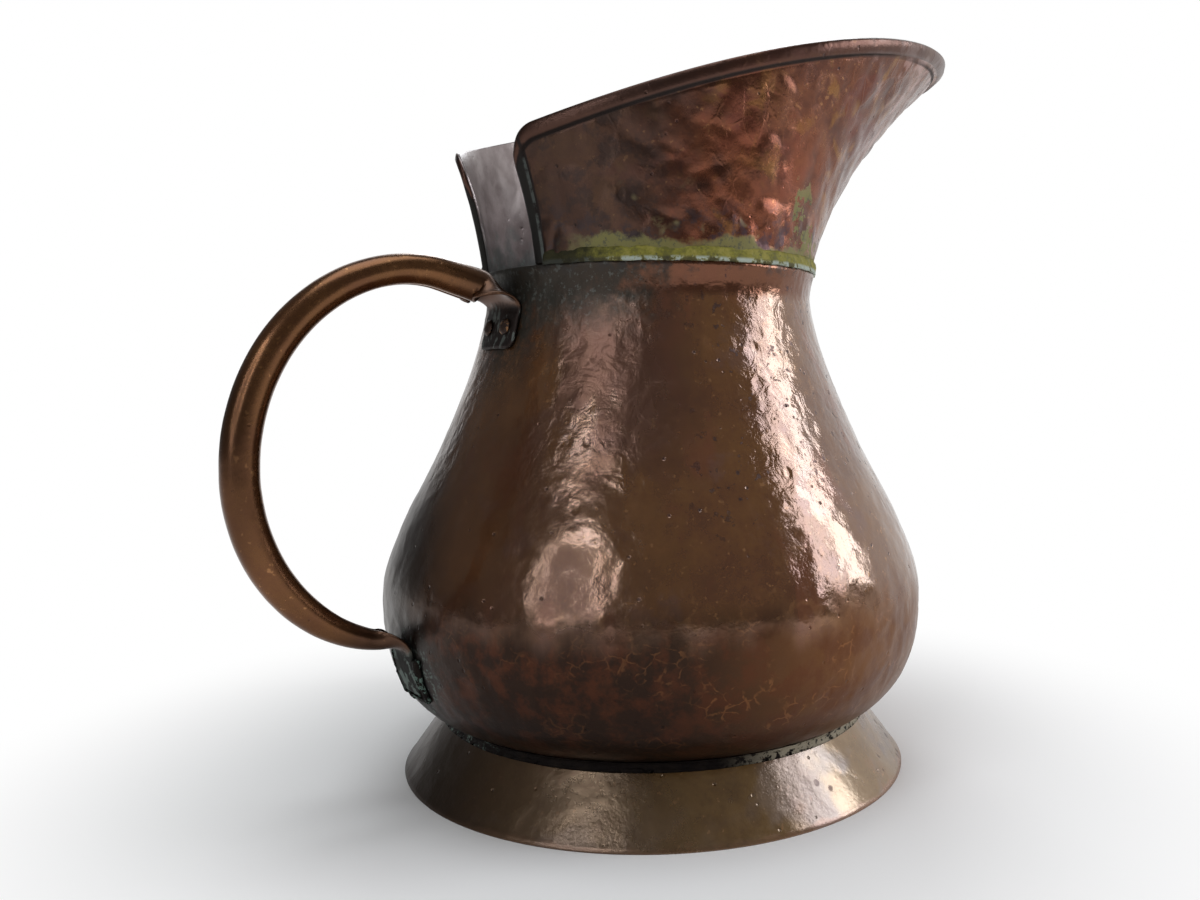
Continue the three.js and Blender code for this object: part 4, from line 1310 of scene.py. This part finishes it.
# %% Collar finish
def collar_finish():
    finish = Finish("red_brown_copper", metallic=0.85)
    colors = [(76, 42, 28), (92, 50, 32), (106, 60, 36), (114, 72, 38)]
    copper_skin(finish, colors, patch=26 * MM, rough=(0.20, 0.32))
    outside, right = 1.0 - finish.inside(), finish.rightwards()
    rise = finish.z - float(NECK_HEIGHT)
    ragged = finish.noise(7 * MM, detail=5.0, roughness=0.7)
    finish.layer(finish.clouds(20, 0.52, 0.62, detail=4.0) * 0.5, (104, 46, 32))
    # Partly painted reflection: gold clouds, painted stronger on the right side.
    gilt_and_sheen = finish.clouds(17, 0.54, 0.66, detail=4.0, distortion=0.8)
    finish.layer(gilt_and_sheen * (right.step(0.0, 0.06) * 0.4 + 0.25), (138, 94, 42))
    # Painted highlight: light lines are painted along the outlines of the hammer marks, which are also raised
    # a little.
    outline_highlights_and_ridges = finish.outlines(9 * MM, 0.6) * finish.clouds(18, 0.46, 0.58, detail=2.0) * outside
    finish.layer(outline_highlights_and_ridges * 0.16, (150, 94, 60), 0.22)
    finish.raise_by(outline_highlights_and_ridges * (0.05 * MM))
    warm = finish.clouds(16, 0.36, 0.56) * rise.step(0.060, 0.035) * right.step(-0.01, 0.02)
    finish.layer(warm * right.step(0.075, 0.060) * outside * 0.45, (142, 76, 46), 0.24)
    # Painted shade: the left side of the collar is painted darker.
    left_shade = (ragged * 0.03 - right).step(0.0, 0.045)
    finish.layer(left_shade * outside * 0.5, (60, 36, 26), 0.34, 0.95)
    plum = finish.clouds(9, 0.50, 0.62, detail=4.0, roughness=0.6) * right.step(0.030, -0.010)
    finish.layer(plum * outside * 0.6, (40, 22, 26), 0.4, 0.9)
    # Painted sheen: pale lilac patches are painted on the far right of the collar.
    painted_lilac_sheen = finish.clouds(13, 0.54, 0.64) * right.step(0.075, 0.10)
    finish.layer(painted_lilac_sheen * 0.6, (168, 130, 122), 0.3, 0.6)
    finish.layer(ragged.step(0.50, 0.60) * rise.step(0.026, 0.010) * 0.8, PLUM, 0.45)
    # Painted shade: the outside of the collar is painted darker behind the axis.
    finish.layer(finish.backwards().torn(ragged, 0.04).step(0.012, 0.044) * 0.6, (46, 38, 32), 0.45)
    paint_hems(finish, ragged, outside)
    paint_salts(finish, ragged, rise, right, outside)
    tin_lining(finish)
    return finish.done()


def paint_hems(finish, ragged, outside):
    """The folded edges: a brown rim, nearly black sides, and a dark line of painted shade in the step where
    the fold ends.
    """
    hem, below_rim, to_fold = [finish.attribute(name) for name in ("hem", "below_rim", "to_fold")]
    hem = hem.step(0.4, 0.6)
    rim = hem * below_rim.step(0.0062, 0.0050)
    side = hem * (1.0 - rim)
    finish.layer(rim * 0.75, (70, 44, 34), 0.34)
    finish.layer(side * 0.94, (22, 22, 19), 0.6, 0.9)
    # Painted shade: a dark line is painted in the step below the folded hem.
    finish.layer(to_fold.step(0.0011, 0.0003) * outside * 0.9, (30, 22, 20), 0.7)
    by_side = side.step(0.0, 0.3) * to_fold.step(0.0011, 0.0004) * below_rim.step(0.0072, 0.0088)
    finish.layer(by_side * ragged.step(0.40, 0.55) * 0.5, (56, 70, 62), 0.8, 0.0)


def paint_salts(finish, ragged, rise, right, outside):
    """Yellow-green salts along the brazed seam, one streak of them higher up, and a few drips."""
    swell = finish.clouds(26, 0.40, 0.62, detail=2.0) * 0.005 + 0.005
    streak = right.step(0.050, 0.055) * right.step(0.064, 0.060) * ragged.step(0.44, 0.56)
    reach = (rise.torn(ragged, 0.012) - (swell + streak * 0.022)).step(0.0022, -0.0012)
    front = outside * (right + 0.026).torn(ragged, 0.02).step(-0.006, 0.008)
    salts = reach * front
    finish.layer(salts * 0.9, (112, 106, 32), 0.75, 0.4)
    finish.layer(salts * finish.clouds(2.2, 0.54, 0.62, roughness=0.7) * 0.7, (60, 58, 34), 0.8, 0.4)
    drip = finish.clouds(11, 0.62, 0.70, detail=2.0) * rise.step(0.034, 0.012) * ragged.step(0.38, 0.56)
    finish.layer(drip * front * 0.6, (132, 118, 62), 0.6, 0.3)


collar_copper = collar_finish()

# %% [markdown]
# The handle is worn to a satin sheen by hands, darkens towards both ends, and is painted darker on its
# outer side as painted shade. Its tabs are painted nearly black as painted shade, like the body round
# them, with grey-green streaks and green crusts on the lower one. The rivets are the darkest copper.

# %% Handle and rivet finishes
def handle_finish():
    finish = Finish("worn_copper", metallic=0.85)
    colors = [(92, 56, 30), (102, 63, 33), (108, 69, 34), (118, 76, 40)]
    copper_skin(finish, colors, patch=60 * MM, rough=(0.22, 0.30), rubbed=0.1, nick_depth=0.0,
                pitted=0.2, bumps=0.35)
    to_end = finish.attribute("to_end")
    # Painted shade: the outer side of the handle is painted darker.
    finish.layer(finish.x.step(-0.143, -0.153) * 0.6, (60, 38, 24), 0.26, 0.95)
    finish.layer(to_end.step(0.050, 0.022) * 0.7, (58, 37, 28), 0.36, 0.85)
    ragged = finish.noise(5 * MM, detail=5.0)
    tab = to_end.torn(ragged, 0.010).step(0.0185, 0.0135)
    drawn = finish.tree.noise(finish.squashed(0.35), 2.4 * MM)
    # Painted shade: the tabs are painted nearly black, with grey-green streaks.
    finish.layer(tab * 0.96, (34, 25, 22), 0.6, 0.9)
    finish.layer(tab * drawn.step(0.56, 0.64) * 0.5, (86, 96, 88), 0.7, 0.1)
    # Painted shade with real crusts: the lower tab is painted darker still, with green crusts.
    lower_tab_shade_and_crust = tab * finish.z.step(0.075, 0.065)
    finish.layer(lower_tab_shade_and_crust * 0.9, (24, 24, 20), 0.8, 0.9)
    finish.layer(lower_tab_shade_and_crust * ragged.step(0.48, 0.56) * 0.6, (84, 104, 94), 0.8, 0.0)
    finish.raise_by(tab * ragged * (0.5 * MM))
    return finish.done()


def rivet_finish():
    finish = Finish("dark_rivet_copper", metallic=0.9)
    colors = [(40, 30, 26), (50, 36, 30), (62, 44, 34)]
    copper_skin(finish, colors, rough=(0.45, 0.6), nick_depth=0.0)
    return finish.done()


handle_copper = handle_finish()
rivet_copper = rivet_finish()

# %% [markdown]
# Solder is dull and broken in colour. The brazed seam under the collar is yellow green with a chalky
# line at its foot, and painted dark on its left as painted shade. The solder at the foot and the lower
# tab is painted nearly black as painted shade in the joints, with pale crusts.

# %% Solder finishes
def solder_finish(name, colors, crust, crust_share):
    finish = Finish(name, metallic=0.2, ior=SOLDER_IOR)
    broad = finish.noise(7 * MM, detail=5.0, roughness=0.7)
    fine = finish.noise(1.2 * MM)
    finish.color = finish.tree.ramp(colors, (broad * 0.7 + fine * 0.3).step(0.35, 0.65))
    finish.roughness = fine.step(0.3, 0.7) * 0.2 + 0.6
    bare = 1 - crust_share
    finish.layer(finish.clouds(2.6, bare, bare + 0.1, detail=4.0, roughness=0.75), crust, 0.85, 0.0)
    finish.raise_by(fine * (0.25 * MM))
    return finish


def green_solder():
    """Brass-green metal with a line of chalk and soot at its foot, painted dark on the left as painted shade.
    """
    finish = solder_finish("green_solder", [(92, 88, 34), OLIVE, (150, 140, 66)], MOSS, 0.40)
    ragged = finish.noise(5 * MM, detail=4.0, roughness=0.7)
    line = (finish.z - float(NECK_HEIGHT)).step(0.0021, 0.0009)
    finish.layer(line * ragged.step(0.44, 0.54) * 0.85, CHALK, 0.85, 0.0)
    finish.layer(line * ragged.step(0.50, 0.42) * 0.7, SOOT, 0.7, 0.0)
    # Painted shade: the left part of the seam is painted dark.
    left_shade = (finish.rightwards() * -1.0).torn(ragged, 0.03).step(0.008, 0.026)
    finish.layer(left_shade * 0.92, (40, 38, 30), 0.7, 0.8)
    return finish.done()


def shaded_crusted_solder(name, crusts):
    """Solder painted nearly black as painted shade in the joint. Each crust is (from, to, colour, share),
    measured to the right of the axis.
    """
    finish = solder_finish(name, [(20, 15, 14), (27, 21, 19), (38, 31, 26)], (46, 42, 36), 0.30)
    finish.metallic = 0.85
    flakes = finish.noise(3.2 * MM, detail=4.0, roughness=0.75)
    for start, stop, color, share in crusts:
        bare = 0.66 - share * 0.3
        here = finish.rightwards().step(start, stop)
        finish.layer(here * flakes.step(bare, bare + 0.04), color, 0.85, 0.0)
    return finish.done()


FOOT_CRUSTS = [(-0.050, -0.066, (92, 106, 98), 0.35), (0.020, 0.050, (160, 150, 130), 0.75)]
TAB_CRUSTS = [(-0.2, -0.19, (88, 108, 98), 0.45)]

seam_green = green_solder()
foot_seam = shaded_crusted_solder("foot_solder", FOOT_CRUSTS)
tab_seam = shaded_crusted_solder("tab_solder", TAB_CRUSTS)

# %% [markdown]
# With outlines, trees and finishes ready, the pieces are made one by one. Each one stands in for a
# solid of the frame, lies where that solid lies, and rides on the jug's only body.

# %% Pieces
def stands_for(piece, slot, *nodes):
    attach(piece, "root")
    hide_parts(*nodes)


body = turned(make_body(), body_copper, 400, spacing=9.5 * MM, depth=0.16 * MM, wave=0.35 * MM,
              wave_spacing=30 * MM)
foot = turned(make_foot(), foot_copper, 300, spacing=16 * MM, depth=0.12 * MM, wave=0.35 * MM,
              wave_spacing=34 * MM, seed=2)
collar = hammered(make_collar(), collar_copper, spacing=10 * MM, depth=0.6 * MM, wave=0.3 * MM,
                  wave_spacing=26 * MM, stretch=(1.0, 1.0, 0.55), seed=3)
handle = hammered(make_handle(), handle_copper, spacing=16 * MM, depth=0.05 * MM, wave=0.12 * MM,
                  wave_spacing=30 * MM, seed=4)
stands_for(body, "body_copper", "body_shell")
stands_for(foot, "foot_copper", "foot_ring")
stands_for(collar, "collar_copper", "spout_collar")
stands_for(handle, "handle_copper", "handle")
stands_for(make_rivets(rivet_copper), "rivet_copper", "upper_rivet_near", "upper_rivet_far")
stands_for(make_collar_solder(seam_green), "seam_solder", "collar_solder")
stands_for(make_foot_solder(foot_seam), "dark_solder", "foot_solder")
stands_for(make_tab_solder(tab_seam), "dark_solder", "lower_tab_solder")

# %% [markdown]
# Last, the size of the dressed jug is written beside the size of the frame, so that the two can be
# compared after every change.

# %% Sizes
visual_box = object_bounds()
for name, box in (("frame", cad_box), ("visual", visual_box)):
    print(name, "box", [tuple(round(value, 4) for value in corner) for corner in box])
